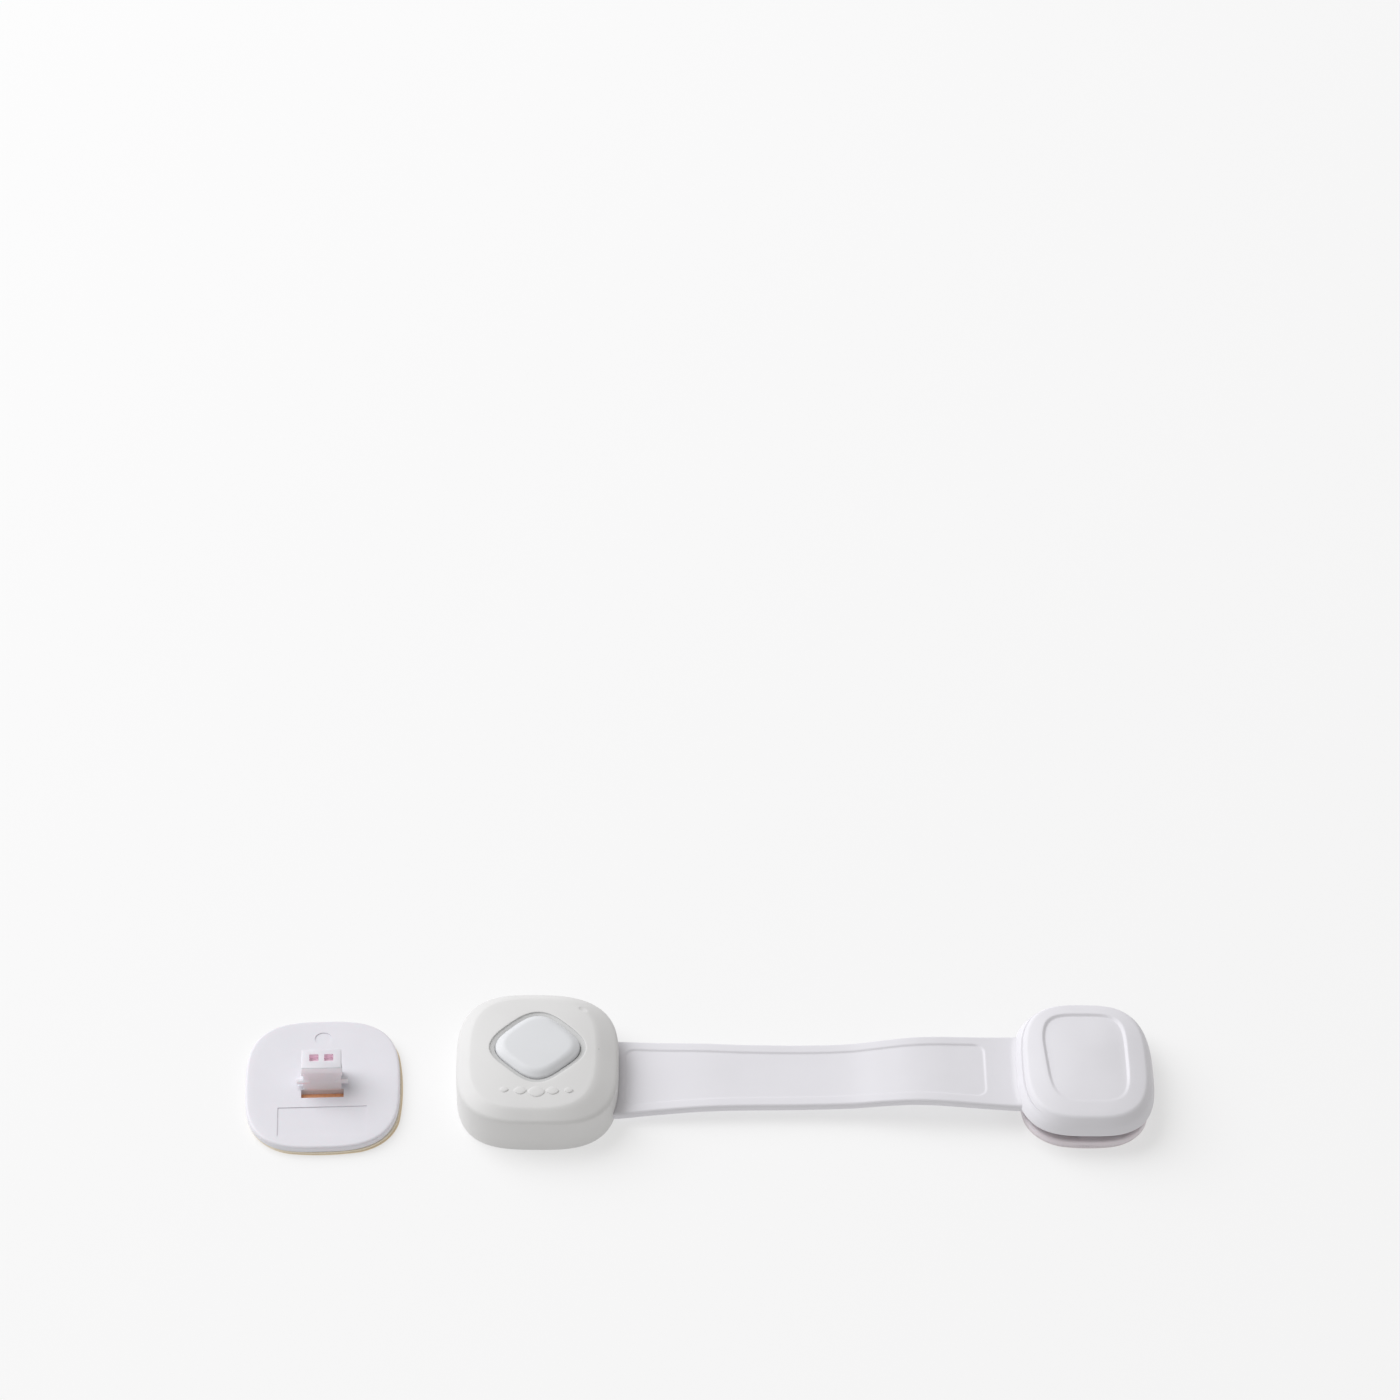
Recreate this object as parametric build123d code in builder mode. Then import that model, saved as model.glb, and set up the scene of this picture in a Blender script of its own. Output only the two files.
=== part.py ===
"""Adhesive strap lock: a loose catch plate, a housing with a decoy button and a hidden latch,
a flexible strap, and a cap that rocks on an adhesive anchor plate.

Millimetres.  X runs along the strap, from the catch to the anchor.  Z is up, and Z = 0 is the
surface that every adhesive pad and the housing stand on.
"""

from build123d import *
import os

os.makedirs("parts", exist_ok=True)

# ---- driving dimensions ------------------------------------------------------------------

CATCH_X, CATCH_Y = -120.1, -1.5  # centre of the loose catch plate
CATCH_TURN = 2.5  # degrees that the loose catch lies turned about its own centre
HOUSING_X, LOCK_Y = -51.6, 1.4  # centre of the housing, and the strap's middle line
CAP_X = 122.5  # centre of the end cap and of the anchor

FIT = 0.05  # radial clearance of pins and screws in their holes
GAP = 0.15  # clearance of sliding flat faces

# adhesive pads
LINER_T = 0.2
FOAM_T = 0.8
PAD_TOP = LINER_T + FOAM_T

# catch plate and tower
CATCH_W, CATCH_L, CATCH_BULGE, CATCH_CORNER = 49.2, 54.6, 3.2, 16.0
CATCH_T = 2.2
CATCH_EDGE_R = 0.9
CATCH_TOP = PAD_TOP + CATCH_T
LINER_SHIFT_X, LINER_SHIFT_Y = 0.9, -0.4
TOWER_W = 12.2
TOWER_H = 10.5
HEAD_W, HEAD_FRONT, HEAD_BACK, HEAD_T = 12.6, -3.1, 5.0, 3.0
LIP_T = 1.6
SHANK_FRONT = -1.0
SHANK_FOOT = -2.6
HEAD_WINDOW, HEAD_WINDOW_Y, HEAD_WINDOW_DEPTH = 2.9, 1.4, 2.6
HEAD_RIB = 1.8
SIDE_PIN_R, SIDE_PIN_REACH = 0.9, 2.1
SIDE_PIN_Y, SIDE_PIN_Z = -0.8, 2.3
HOLE_W, HOLE_FRONT, HOLE_BACK = 13.5, -6.1, -2.6
LABEL_W, LABEL_L, LABEL_Y, LABEL_DEPTH = 28.2, 12.0, -16.0, 0.25
MARK_R, MARK_Y, MARK_DEPTH = 2.5, 20.6, 0.15

# housing shell
HOUSING_W, HOUSING_L, HOUSING_BULGE, HOUSING_CORNER = 51.6, 55.7, 3.2, 16.0
WALL = 1.8
WALL_TOP = 12.9
CROWN_TOP = 16.5
CROWN_R = 220.0
BEVEL_ANGLE = 58.0
ROOF_UNDER = 12.0
BUTTON_WELL_R = 16.3
BUTTON_WELL_TOP = 13.5
BASE_T = 1.4

# decoy button
BUTTON_Y = LOCK_Y + 1.9  # the button stands a little behind the housing's middle
BUTTON_HALF = 13.25
BUTTON_CORNER = 6.5
BUTTON_TOP = 17.5
BUTTON_BEVEL = 1.9
BUTTON_GAP = 0.3
LEDGE_HALF = 14.75
LEDGE_Z = 15.3
FLANGE_HALF = 15.0
FLANGE_T = 0.9
BUTTON_HOLLOW_R = 10.6
BUTTON_HOLLOW_TOP = 15.5
BUTTON_SPRING_R, BUTTON_SPRING_WIRE = 9.7, 0.35

# button keeper
KEEPER_Z, KEEPER_T = 9.3, 1.1
KEEPER_W, KEEPER_L, KEEPER_CORNER = 42.0, 28.0, 3.0
KEEPER_SCREW_X = 18.4
KEEPER_HOLE_W, KEEPER_HOLE_L, KEEPER_HOLE_Y = 14.2, 9.1, 1.0
KEEPER_TOP = KEEPER_Z + KEEPER_T

# latch slider, which moves towards -Y
SLIDER_T = 1.5
SLIDER_Z = KEEPER_Z - GAP - SLIDER_T
SLIDER_W = 25.0
SLIDER_FRONT, SLIDER_BACK = -12.0, 23.0
SLIDER_CORNER = 1.5
SLIDER_WINDOW_W = 14.4
SLIDER_WINDOW_FRONT, SLIDER_WINDOW_BACK = -1.6, 7.9
LUG_X, LUG_W, LUG_T, LUG_Z = 10.2, 4.0, 1.6, 5.0
RELEASE_W, RELEASE_H, RELEASE_Z = 14.0, 4.4, 5.6
LATCH_SPRING_R, LATCH_SPRING_WIRE, LATCH_SPRING_Z = 1.5, 0.2, 7.0
LATCH_SPRING_SEAT = -20.0
SEAT_T, SEAT_OVER, SEAT_RISE = 1.6, 1.3, 2.0  # the wall that the latch springs push on

# catch socket in the base
SOCKET_W, SOCKET_FRONT, SOCKET_BACK = 17.6, -4.6, 6.4
RAIL_X, RAIL_W, RAIL_FRONT, RAIL_BACK = 10.6, 1.6, -8.0, 15.0

# screws and bosses
BOSS_X, BOSS_Y, BOSS_R = 16.6, 19.2, 2.6
KEEPER_BOSS_R = 2.1
BOSS_BITE = 0.5  # how far a boss runs into the roof
SCREW_R = 1.1
SCREW_HEAD_R, SCREW_HEAD_T = 2.0, 0.9
SCREW_DEPTH, SHORT_SCREW_DEPTH = 7.5, 4.0
SCREW_CROSS_W, SCREW_CROSS_D = 2.2, 0.5

# strap
STRAP_T = 2.5
ROOT_START = -37.6
HOUSING_WALL = HOUSING_X + HOUSING_W / 2
ROOT_HINGE_X, MID_HINGE_X, END_HINGE_X = -15.0, 38.0, 91.0
FLEX_GAP = 1.4
STRAP_UNDERSIDE = [
    (HOUSING_WALL, 1.45),
    (-12.9, 2.2),
    (1.0, 3.0),
    (16.0, 3.1),
    (33.0, 3.3),
    (48.0, 4.1),
    (59.0, 5.7),
    (67.0, 6.7),
    (75.0, 6.9),
    (83.0, 6.5),
    (92.0, 6.0),
    (101.5, 5.7),
]
STRAP_HALF_WIDTHS = [
    (HOUSING_WALL, 16.0),
    (-12.9, 14.8),
    (1.0, 14.0),
    (16.0, 13.4),
    (48.0, 13.2),
    (75.0, 14.1),
    (92.0, 14.8),
    (101.5, 15.2),
]
SLOT_HALF, SLOT_SILL, SLOT_TOP = 16.5, 1.3, 4.2
PEG_Y, PEG_R, PEG_X = 9.0, 2.0, -33.5
PEG_HOLE_Z = 1.0
CLAMP_W, CLAMP_L, CLAMP_T, CLAMP_CORNER = 6.0, 26.0, 2.0, 1.5

# end cap
CAP_Y = LOCK_Y + 0.4  # the cap stands a little further back than the strap
CAP_W, CAP_L, CAP_BULGE, CAP_CORNER = 44.4, 54.0, 3.0, 14.0
CAP_RIM = 7.0
CAP_EDGE = 12.6
CAP_CROWN = 15.5
CAP_CROWN_R = 210.0
CAP_BEVEL_ANGLE = 60.0
CAP_ROOF_UNDER = 11.6
CAP_WALL = 2.2
CAP_PANEL_W, CAP_PANEL_L, CAP_PANEL_BULGE, CAP_PANEL_CORNER = 26.6, 37.6, 1.5, 4.5
CAP_PANEL_Y, CAP_PANEL_DEPTH = CAP_Y + 0.4, 0.6

# pivot between the cap and the anchor
PIVOT_Z = 9.0
PIN_R = 1.2
BARREL_R = 2.2
EAR_Y, EAR_T, EAR_W = 20.6, 2.2, 4.4
EAR_ROOM = 0.6  # free space at the sides of an ear
INSERT_Z = 9.9
INSERT_W, INSERT_L, INSERT_CORNER = 34.0, 44.0, 9.0
INSERT_SCREW_X, INSERT_SCREW_Y = 13.0, 15.0
INSERT_SCREW_DEPTH = 2.6

# anchor plate
ANCHOR_W, ANCHOR_L, ANCHOR_BULGE, ANCHOR_CORNER = 41.6, 50.6, 3.0, 15.0
ANCHOR_TOP = 3.0
ANCHOR_EDGE_R = 0.8


# ---- shared shapes -----------------------------------------------------------------------


def pillow(width, length, bulge, corner):
    """A rectangle whose four sides bow outwards by bulge, with rounded corners."""
    x, y = width / 2 - bulge, length / 2 - bulge
    with BuildSketch() as outline:
        with BuildLine():
            ThreePointArc((-x, -y), (0, -length / 2), (x, -y))
            ThreePointArc((x, -y), (width / 2, 0), (x, y))
            ThreePointArc((x, y), (0, length / 2), (-x, y))
            ThreePointArc((-x, y), (-width / 2, 0), (-x, -y))
        make_face()
        fillet(outline.vertices(), corner)
    return outline.sketch


def pillow_inset(width, length, bulge, corner, inset):
    """The same pillow outline drawn smaller by inset all round."""
    return pillow(width - 2 * inset, length - 2 * inset, bulge, corner - inset)


def diamond(half, corner=BUTTON_CORNER, bow=0.7):
    """A square on its corner with bowed sides, whose rounded tips reach half from the centre."""
    tip = half + corner * (2**0.5 - 1) * 0.71
    side = tip / 2 + bow * 2**-0.5
    with BuildSketch() as outline:
        with BuildLine():
            ThreePointArc((tip, 0), (side, side), (0, tip))
            ThreePointArc((0, tip), (-side, side), (-tip, 0))
            ThreePointArc((-tip, 0), (-side, -side), (0, -tip))
            ThreePointArc((0, -tip), (side, -side), (tip, 0))
        make_face()
        fillet(outline.vertices(), corner)
    return outline.sketch


def screw(depth):
    """A countersunk screw whose head's flat face is at Z = 0 and whose tip is at Z = depth."""
    with BuildPart() as body:
        with BuildSketch(Plane.XZ):
            with BuildLine():
                Polyline(
                    (0, 0),
                    (SCREW_HEAD_R, 0),
                    (SCREW_R, SCREW_HEAD_T),
                    (SCREW_R, depth - SCREW_R),
                    (0, depth),
                    (0, 0),
                )
            make_face()
        revolve(axis=Axis.Z)
        with BuildSketch():
            Rectangle(SCREW_CROSS_W, SCREW_CROSS_D)
            Rectangle(SCREW_CROSS_D, SCREW_CROSS_W)
        extrude(amount=SCREW_CROSS_D, mode=Mode.SUBTRACT)
    return body.part


def coil(radius, wire, height, turns):
    """A coil spring along Z from Z = 0 to Z = height, its wire's centre line at radius."""
    rise = height - 2 * wire
    with BuildPart() as body:
        with BuildLine() as path:
            Helix(pitch=rise / turns, height=rise, radius=radius, center=(0, 0, wire))
        with BuildSketch(Plane(origin=path.line @ 0, z_dir=path.line % 0)):
            Circle(wire)
        sweep()
    return body.part


def strap_blank(start, end):
    """The strap between two places along X: an even thickness that follows the underside."""
    with BuildPart() as blank:
        with BuildSketch(Plane.XZ):
            with BuildLine():
                under = Spline(STRAP_UNDERSIDE)
                upper = Spline([(x, z + STRAP_T) for x, z in STRAP_UNDERSIDE])
                Line(under @ 0, upper @ 0)
                Line(under @ 1, upper @ 1)
            make_face()
        extrude(amount=20, both=True)
        with BuildSketch():
            with BuildLine():
                front = Spline([(x, -half) for x, half in STRAP_HALF_WIDTHS])
                back = Spline([(x, half) for x, half in STRAP_HALF_WIDTHS])
                Line(front @ 0, back @ 0)
                Line(front @ 1, back @ 1)
            make_face()
        extrude(amount=20, mode=Mode.INTERSECT)
        with Locations(((start + end) / 2, 0, 5)):
            Box(end - start, 40, 20, mode=Mode.INTERSECT)
    return blank.part


housing_outline = pillow(HOUSING_W, HOUSING_L, HOUSING_BULGE, HOUSING_CORNER)
housing_inside = pillow_inset(HOUSING_W, HOUSING_L, HOUSING_BULGE, HOUSING_CORNER, WALL)
base_outline = pillow_inset(HOUSING_W, HOUSING_L, HOUSING_BULGE, HOUSING_CORNER, WALL + GAP)
catch_outline = pillow(CATCH_W, CATCH_L, CATCH_BULGE, CATCH_CORNER)
anchor_outline = pillow(ANCHOR_W, ANCHOR_L, ANCHOR_BULGE, ANCHOR_CORNER)
cap_outline = pillow(CAP_W, CAP_L, CAP_BULGE, CAP_CORNER)
cap_panel_outline = pillow(CAP_PANEL_W, CAP_PANEL_L, CAP_PANEL_BULGE, CAP_PANEL_CORNER)
cap_inside = pillow_inset(CAP_W, CAP_L, CAP_BULGE, CAP_CORNER, CAP_WALL)
button_outline = diamond(BUTTON_HALF)
ledge_outline = diamond(LEDGE_HALF)
flange_outline = diamond(FLANGE_HALF)
button_hole_outline = diamond(BUTTON_HALF + BUTTON_GAP)

housing_screw = screw(SCREW_DEPTH)
short_screw = screw(SHORT_SCREW_DEPTH)
insert_screw = screw(INSERT_SCREW_DEPTH)

CORNER_BOSSES = [
    (HOUSING_X + x, LOCK_Y + y) for x in (-BOSS_X, BOSS_X) for y in (-BOSS_Y, BOSS_Y)
]
KEEPER_BOSSES = [(HOUSING_X + x, LOCK_Y) for x in (-KEEPER_SCREW_X, KEEPER_SCREW_X)]
PEGS = [(PEG_X, LOCK_Y + y) for y in (-PEG_Y, PEG_Y)]
INSERT_SCREWS = [
    (CAP_X + x, LOCK_Y + y)
    for x in (-INSERT_SCREW_X, INSERT_SCREW_X)
    for y in (-INSERT_SCREW_Y, INSERT_SCREW_Y)
]
LUGS = [(HOUSING_X - LUG_X, "left"), (HOUSING_X + LUG_X, "right")]


# ---- loose catch -------------------------------------------------------------------------


CATCH_PLANE = Plane.XY.offset(PAD_TOP)

with BuildPart() as catch_plate:
    with BuildSketch(CATCH_PLANE):
        with Locations((CATCH_X, CATCH_Y)):
            add(catch_outline)
    extrude(amount=CATCH_T)
    fillet(catch_plate.faces().sort_by(Axis.Z)[-1].edges(), CATCH_EDGE_R)
    with BuildSketch(Plane.XY.offset(CATCH_TOP - LABEL_DEPTH)):
        with Locations((CATCH_X, CATCH_Y + LABEL_Y)):
            Rectangle(LABEL_W, LABEL_L)
    extrude(amount=1, mode=Mode.SUBTRACT)
    with BuildSketch(Plane.XY.offset(CATCH_TOP - MARK_DEPTH)):
        with Locations((CATCH_X, CATCH_Y + MARK_Y)):
            Circle(MARK_R)
    extrude(amount=1, mode=Mode.SUBTRACT)
    with BuildSketch(CATCH_PLANE):
        with Locations((CATCH_X, CATCH_Y + (HOLE_FRONT + HOLE_BACK) / 2)):
            Rectangle(HOLE_W, HOLE_BACK - HOLE_FRONT)
    extrude(amount=CATCH_T, mode=Mode.SUBTRACT)
    # the tower seen from its side: upright back, hollowed front and a head with a lip
    with BuildSketch(Plane(origin=(CATCH_X, CATCH_Y, CATCH_TOP), x_dir=(0, 1, 0), z_dir=(1, 0, 0))):
        with BuildLine():
            Polyline(
                (SHANK_FOOT, -0.5),
                (HEAD_BACK, -0.5),
                (HEAD_BACK, TOWER_H),
                (HEAD_FRONT, TOWER_H),
                (HEAD_FRONT, TOWER_H - LIP_T),
                (SHANK_FRONT - 0.2, TOWER_H - LIP_T - 0.4),
            )
            ThreePointArc(
                (SHANK_FRONT - 0.2, TOWER_H - LIP_T - 0.4),
                (SHANK_FRONT + 0.4, TOWER_H / 2 - 1),
                (SHANK_FOOT, -0.5),
            )
        make_face()
    extrude(amount=TOWER_W / 2, both=True)
    with Locations((CATCH_X, CATCH_Y + (HEAD_FRONT + HEAD_BACK) / 2, CATCH_TOP + TOWER_H - HEAD_T / 2)):
        Box(HEAD_W, HEAD_BACK - HEAD_FRONT - 0.02, HEAD_T)
    with Locations((CATCH_X, CATCH_Y + SIDE_PIN_Y, CATCH_TOP + SIDE_PIN_Z)):
        Cylinder(SIDE_PIN_R, TOWER_W + 2 * SIDE_PIN_REACH, rotation=(0, 90, 0))
    with BuildSketch(Plane.XY.offset(CATCH_TOP + TOWER_H)):
        with Locations((CATCH_X, CATCH_Y + HEAD_WINDOW_Y)):
            with GridLocations(HEAD_WINDOW + HEAD_RIB, 1, 2, 1):
                Rectangle(HEAD_WINDOW, HEAD_WINDOW)
    extrude(amount=-HEAD_WINDOW_DEPTH, mode=Mode.SUBTRACT)

with BuildPart() as catch_adhesive_foam:
    with BuildSketch(Plane.XY.offset(LINER_T)):
        with Locations((CATCH_X + LINER_SHIFT_X / 2, CATCH_Y + LINER_SHIFT_Y / 2)):
            add(catch_outline)
    extrude(amount=FOAM_T)

with BuildPart() as catch_release_liner:
    with BuildSketch():
        with Locations((CATCH_X + LINER_SHIFT_X, CATCH_Y + LINER_SHIFT_Y)):
            add(catch_outline)
    extrude(amount=LINER_T)


# ---- housing -----------------------------------------------------------------------------

with BuildPart() as housing_shell:
    with BuildSketch(Plane.XY.offset(WALL_TOP)):
        with Locations((HOUSING_X, LOCK_Y)):
            add(housing_outline)
    extrude(amount=CROWN_TOP - WALL_TOP, taper=BEVEL_ANGLE)
    with Locations((HOUSING_X, LOCK_Y, CROWN_TOP - CROWN_R)):
        Sphere(CROWN_R, mode=Mode.INTERSECT)
    with BuildSketch():
        with Locations((HOUSING_X, LOCK_Y)):
            add(housing_outline)
    extrude(amount=WALL_TOP)
    with BuildSketch():
        with Locations((HOUSING_X, LOCK_Y)):
            add(housing_inside)
    extrude(amount=ROOF_UNDER, mode=Mode.SUBTRACT)
    with BuildSketch():
        with Locations((HOUSING_X, BUTTON_Y)):
            Circle(BUTTON_WELL_R)
    extrude(amount=BUTTON_WELL_TOP, mode=Mode.SUBTRACT)
    with BuildSketch(Plane.XY.offset(LEDGE_Z)):
        with Locations((HOUSING_X, BUTTON_Y)):
            add(ledge_outline)
    extrude(amount=3, mode=Mode.SUBTRACT)
    with BuildSketch(Plane.XY.offset(BUTTON_WELL_TOP - 1)):
        with Locations((HOUSING_X, BUTTON_Y)):
            add(button_hole_outline)
    extrude(amount=5, mode=Mode.SUBTRACT)
    # bosses for the base's and the keeper's screws
    with BuildSketch(Plane.XY.offset(BASE_T)):
        with Locations(*CORNER_BOSSES):
            Circle(BOSS_R)
    extrude(amount=ROOF_UNDER - BASE_T + BOSS_BITE)
    with BuildSketch(Plane.XY.offset(KEEPER_TOP)):
        with Locations(*KEEPER_BOSSES):
            Circle(KEEPER_BOSS_R)
    extrude(amount=ROOF_UNDER - KEEPER_TOP + BOSS_BITE)
    with BuildSketch(Plane.XY.offset(BASE_T)):
        with Locations(*CORNER_BOSSES):
            Circle(SCREW_R + FIT)
    extrude(amount=SCREW_DEPTH - BASE_T + 0.5, mode=Mode.SUBTRACT)
    with BuildSketch(Plane.XY.offset(KEEPER_Z)):
        with Locations(*KEEPER_BOSSES):
            Circle(SCREW_R + FIT)
    extrude(amount=SHORT_SCREW_DEPTH, mode=Mode.SUBTRACT)
    # slot for the strap and window for the release button
    with Locations((HOUSING_WALL, LOCK_Y, (SLOT_SILL + SLOT_TOP) / 2)):
        Box(5 * WALL, 2 * SLOT_HALF, SLOT_TOP - SLOT_SILL, mode=Mode.SUBTRACT)
    with Locations((HOUSING_X, LOCK_Y + HOUSING_L / 2, RELEASE_Z + RELEASE_H / 2)):
        Box(RELEASE_W + 2 * GAP, 8, RELEASE_H + 2 * GAP, mode=Mode.SUBTRACT)

with BuildPart() as housing_base:
    with BuildSketch():
        with Locations((HOUSING_X, LOCK_Y)):
            add(base_outline)
    extrude(amount=BASE_T)
    with BuildSketch(Plane.XY.offset(BASE_T)):
        with Locations((HOUSING_X - RAIL_X, LOCK_Y), (HOUSING_X + RAIL_X, LOCK_Y)):
            with Locations((0, (RAIL_FRONT + RAIL_BACK) / 2)):
                Rectangle(RAIL_W, RAIL_BACK - RAIL_FRONT)
    extrude(amount=SLIDER_Z - GAP - BASE_T)
    with BuildSketch(Plane.XY.offset(BASE_T)):
        with Locations((HOUSING_X, LOCK_Y + LATCH_SPRING_SEAT - SEAT_T / 2)):
            Rectangle(2 * (LUG_X + SEAT_OVER), SEAT_T)
    extrude(amount=LATCH_SPRING_Z + SEAT_RISE - BASE_T)
    with BuildSketch(Plane.XY.offset(BASE_T)):
        with Locations(*PEGS):
            Circle(PEG_R)
    extrude(amount=STRAP_T)
    with BuildSketch(Plane.XY.offset(PEG_HOLE_Z)):
        with Locations(*PEGS):
            Circle(SCREW_R + FIT)
    extrude(amount=10, mode=Mode.SUBTRACT)
    with BuildSketch():
        with Locations((HOUSING_X, LOCK_Y + (SOCKET_FRONT + SOCKET_BACK) / 2)):
            Rectangle(SOCKET_W, SOCKET_BACK - SOCKET_FRONT)
    extrude(amount=BASE_T, mode=Mode.SUBTRACT)
    with Locations(*[(x, y, 0) for x, y in CORNER_BOSSES]):
        Cone(
            SCREW_HEAD_R + FIT,
            SCREW_R + FIT,
            SCREW_HEAD_T,
            align=(Align.CENTER, Align.CENTER, Align.MIN),
            mode=Mode.SUBTRACT,
        )
        Cylinder(
            SCREW_R + FIT,
            BASE_T,
            align=(Align.CENTER, Align.CENTER, Align.MIN),
            mode=Mode.SUBTRACT,
        )

with BuildPart() as housing_screws:
    with Locations(*[(x, y, 0) for x, y in CORNER_BOSSES]):
        add(housing_screw)

with BuildPart() as button_keeper:
    with BuildSketch(Plane.XY.offset(KEEPER_Z)):
        with Locations((HOUSING_X, LOCK_Y)):
            RectangleRounded(KEEPER_W, KEEPER_L, KEEPER_CORNER)
            with Locations((0, KEEPER_HOLE_Y)):
                Rectangle(KEEPER_HOLE_W, KEEPER_HOLE_L, mode=Mode.SUBTRACT)
        with Locations(*KEEPER_BOSSES):
            Circle(SCREW_R + FIT, mode=Mode.SUBTRACT)
    extrude(amount=KEEPER_T)

with BuildPart() as keeper_screws:
    with Locations(*[(x, y, KEEPER_Z - SCREW_HEAD_T) for x, y in KEEPER_BOSSES]):
        add(short_screw)

button_coil = coil(BUTTON_SPRING_R, BUTTON_SPRING_WIRE, BUTTON_HOLLOW_TOP - KEEPER_TOP, 3)
with BuildPart() as button_spring:
    with Locations((HOUSING_X, BUTTON_Y, KEEPER_TOP)):
        add(button_coil)

latch_coil_length = SLIDER_FRONT - LATCH_SPRING_SEAT
latch_coil = coil(LATCH_SPRING_R, LATCH_SPRING_WIRE, latch_coil_length, 7)
latch_springs = {}
for spring_x, side in LUGS:
    with BuildPart() as latch_spring:
        with Locations((spring_x, LOCK_Y + SLIDER_FRONT, LATCH_SPRING_Z)):
            add(latch_coil.rotate(Axis.X, 90))
    latch_springs[side] = latch_spring

with BuildPart() as strap_clamp:
    with BuildSketch(Plane.XY.offset(BASE_T + STRAP_T + FIT)):
        with Locations((PEG_X, LOCK_Y)):
            RectangleRounded(CLAMP_W, CLAMP_L, CLAMP_CORNER)
        with Locations(*PEGS):
            Circle(SCREW_R + FIT, mode=Mode.SUBTRACT)
    extrude(amount=CLAMP_T)

clamp_screw_top = BASE_T + STRAP_T + FIT + CLAMP_T + SCREW_HEAD_T
with BuildPart() as strap_clamp_screws:
    with Locations(*[(x, y, clamp_screw_top) for x, y in PEGS]):
        add(short_screw.rotate(Axis.X, 180))


# ---- parts that move in the housing ------------------------------------------------------

with BuildPart() as decoy_button:
    with BuildSketch(Plane.XY.offset(BUTTON_WELL_TOP - FLANGE_T - GAP)):
        with Locations((HOUSING_X, BUTTON_Y)):
            add(button_outline)
    extrude(amount=BUTTON_TOP - BUTTON_WELL_TOP + FLANGE_T + GAP)
    chamfer(decoy_button.faces().sort_by(Axis.Z)[-1].edges(), BUTTON_BEVEL)
    with BuildSketch(Plane.XY.offset(BUTTON_WELL_TOP - FLANGE_T - GAP)):
        with Locations((HOUSING_X, BUTTON_Y)):
            add(flange_outline)
    extrude(amount=FLANGE_T)
    with BuildSketch(Plane.XY.offset(BUTTON_WELL_TOP - FLANGE_T - GAP)):
        with Locations((HOUSING_X, BUTTON_Y)):
            Circle(BUTTON_HOLLOW_R)
    extrude(amount=BUTTON_HOLLOW_TOP - BUTTON_WELL_TOP + FLANGE_T + GAP, mode=Mode.SUBTRACT)

with BuildPart() as latch_slider:
    with BuildSketch(Plane.XY.offset(SLIDER_Z)):
        with Locations((HOUSING_X, LOCK_Y + (SLIDER_FRONT + SLIDER_BACK) / 2)):
            RectangleRounded(SLIDER_W, SLIDER_BACK - SLIDER_FRONT, SLIDER_CORNER)
        with Locations((HOUSING_X, LOCK_Y + (SLIDER_WINDOW_FRONT + SLIDER_WINDOW_BACK) / 2)):
            Rectangle(
                SLIDER_WINDOW_W,
                SLIDER_WINDOW_BACK - SLIDER_WINDOW_FRONT,
                mode=Mode.SUBTRACT,
            )
    extrude(amount=SLIDER_T)
    with BuildSketch(Plane.XY.offset(LUG_Z)):
        with Locations(*[(x, LOCK_Y + SLIDER_FRONT + LUG_T / 2) for x, _ in LUGS]):
            Rectangle(LUG_W, LUG_T)
    extrude(amount=SLIDER_Z + SLIDER_T - LUG_Z)

with BuildPart() as release_button:
    with BuildSketch(Plane.XY.offset(RELEASE_Z)):
        with Locations((HOUSING_X, LOCK_Y)):
            add(housing_outline)
        with Locations((HOUSING_X, LOCK_Y + HOUSING_L / 2)):
            Rectangle(RELEASE_W, 2 * (HOUSING_L / 2 - SLIDER_BACK), mode=Mode.INTERSECT)
    extrude(amount=RELEASE_H)


# ---- strap and cap -----------------------------------------------------------------------

HALF_FLEX = FLEX_GAP / 2
root_blank = strap_blank(HOUSING_WALL, ROOT_HINGE_X - HALF_FLEX)
inner_blank = strap_blank(ROOT_HINGE_X + HALF_FLEX, MID_HINGE_X - HALF_FLEX)
outer_blank = strap_blank(MID_HINGE_X + HALF_FLEX, END_HINGE_X - HALF_FLEX)
end_blank = strap_blank(END_HINGE_X + HALF_FLEX, CAP_X - CAP_W / 2 + 0.3)

with BuildPart() as strap_root:
    with Locations((0, LOCK_Y, 0)):
        add(root_blank)
    with BuildSketch(Plane.XY.offset(BASE_T)):
        with Locations(((ROOT_START + HOUSING_WALL) / 2, LOCK_Y)):
            Rectangle(HOUSING_WALL - ROOT_START, 2 * STRAP_HALF_WIDTHS[0][1])
        with Locations(*PEGS):
            Circle(PEG_R + FIT, mode=Mode.SUBTRACT)
    extrude(amount=STRAP_T)

strap_parts = []
for blank in (inner_blank, outer_blank):
    with BuildPart() as strap_part:
        with Locations((0, LOCK_Y, 0)):
            add(blank)
    strap_parts.append(strap_part)
strap_inner, strap_outer = strap_parts

# what the recessed panel takes away: its floor runs parallel to the crown
with BuildPart() as cap_panel:
    with BuildSketch(Plane.XY.offset(CAP_EDGE)):
        with Locations((CAP_X, CAP_PANEL_Y)):
            add(cap_panel_outline)
    extrude(amount=CAP_CROWN - CAP_EDGE + 1)
    with Locations((CAP_X, CAP_Y, CAP_CROWN - CAP_CROWN_R)):
        Sphere(CAP_CROWN_R - CAP_PANEL_DEPTH, mode=Mode.SUBTRACT)

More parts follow.
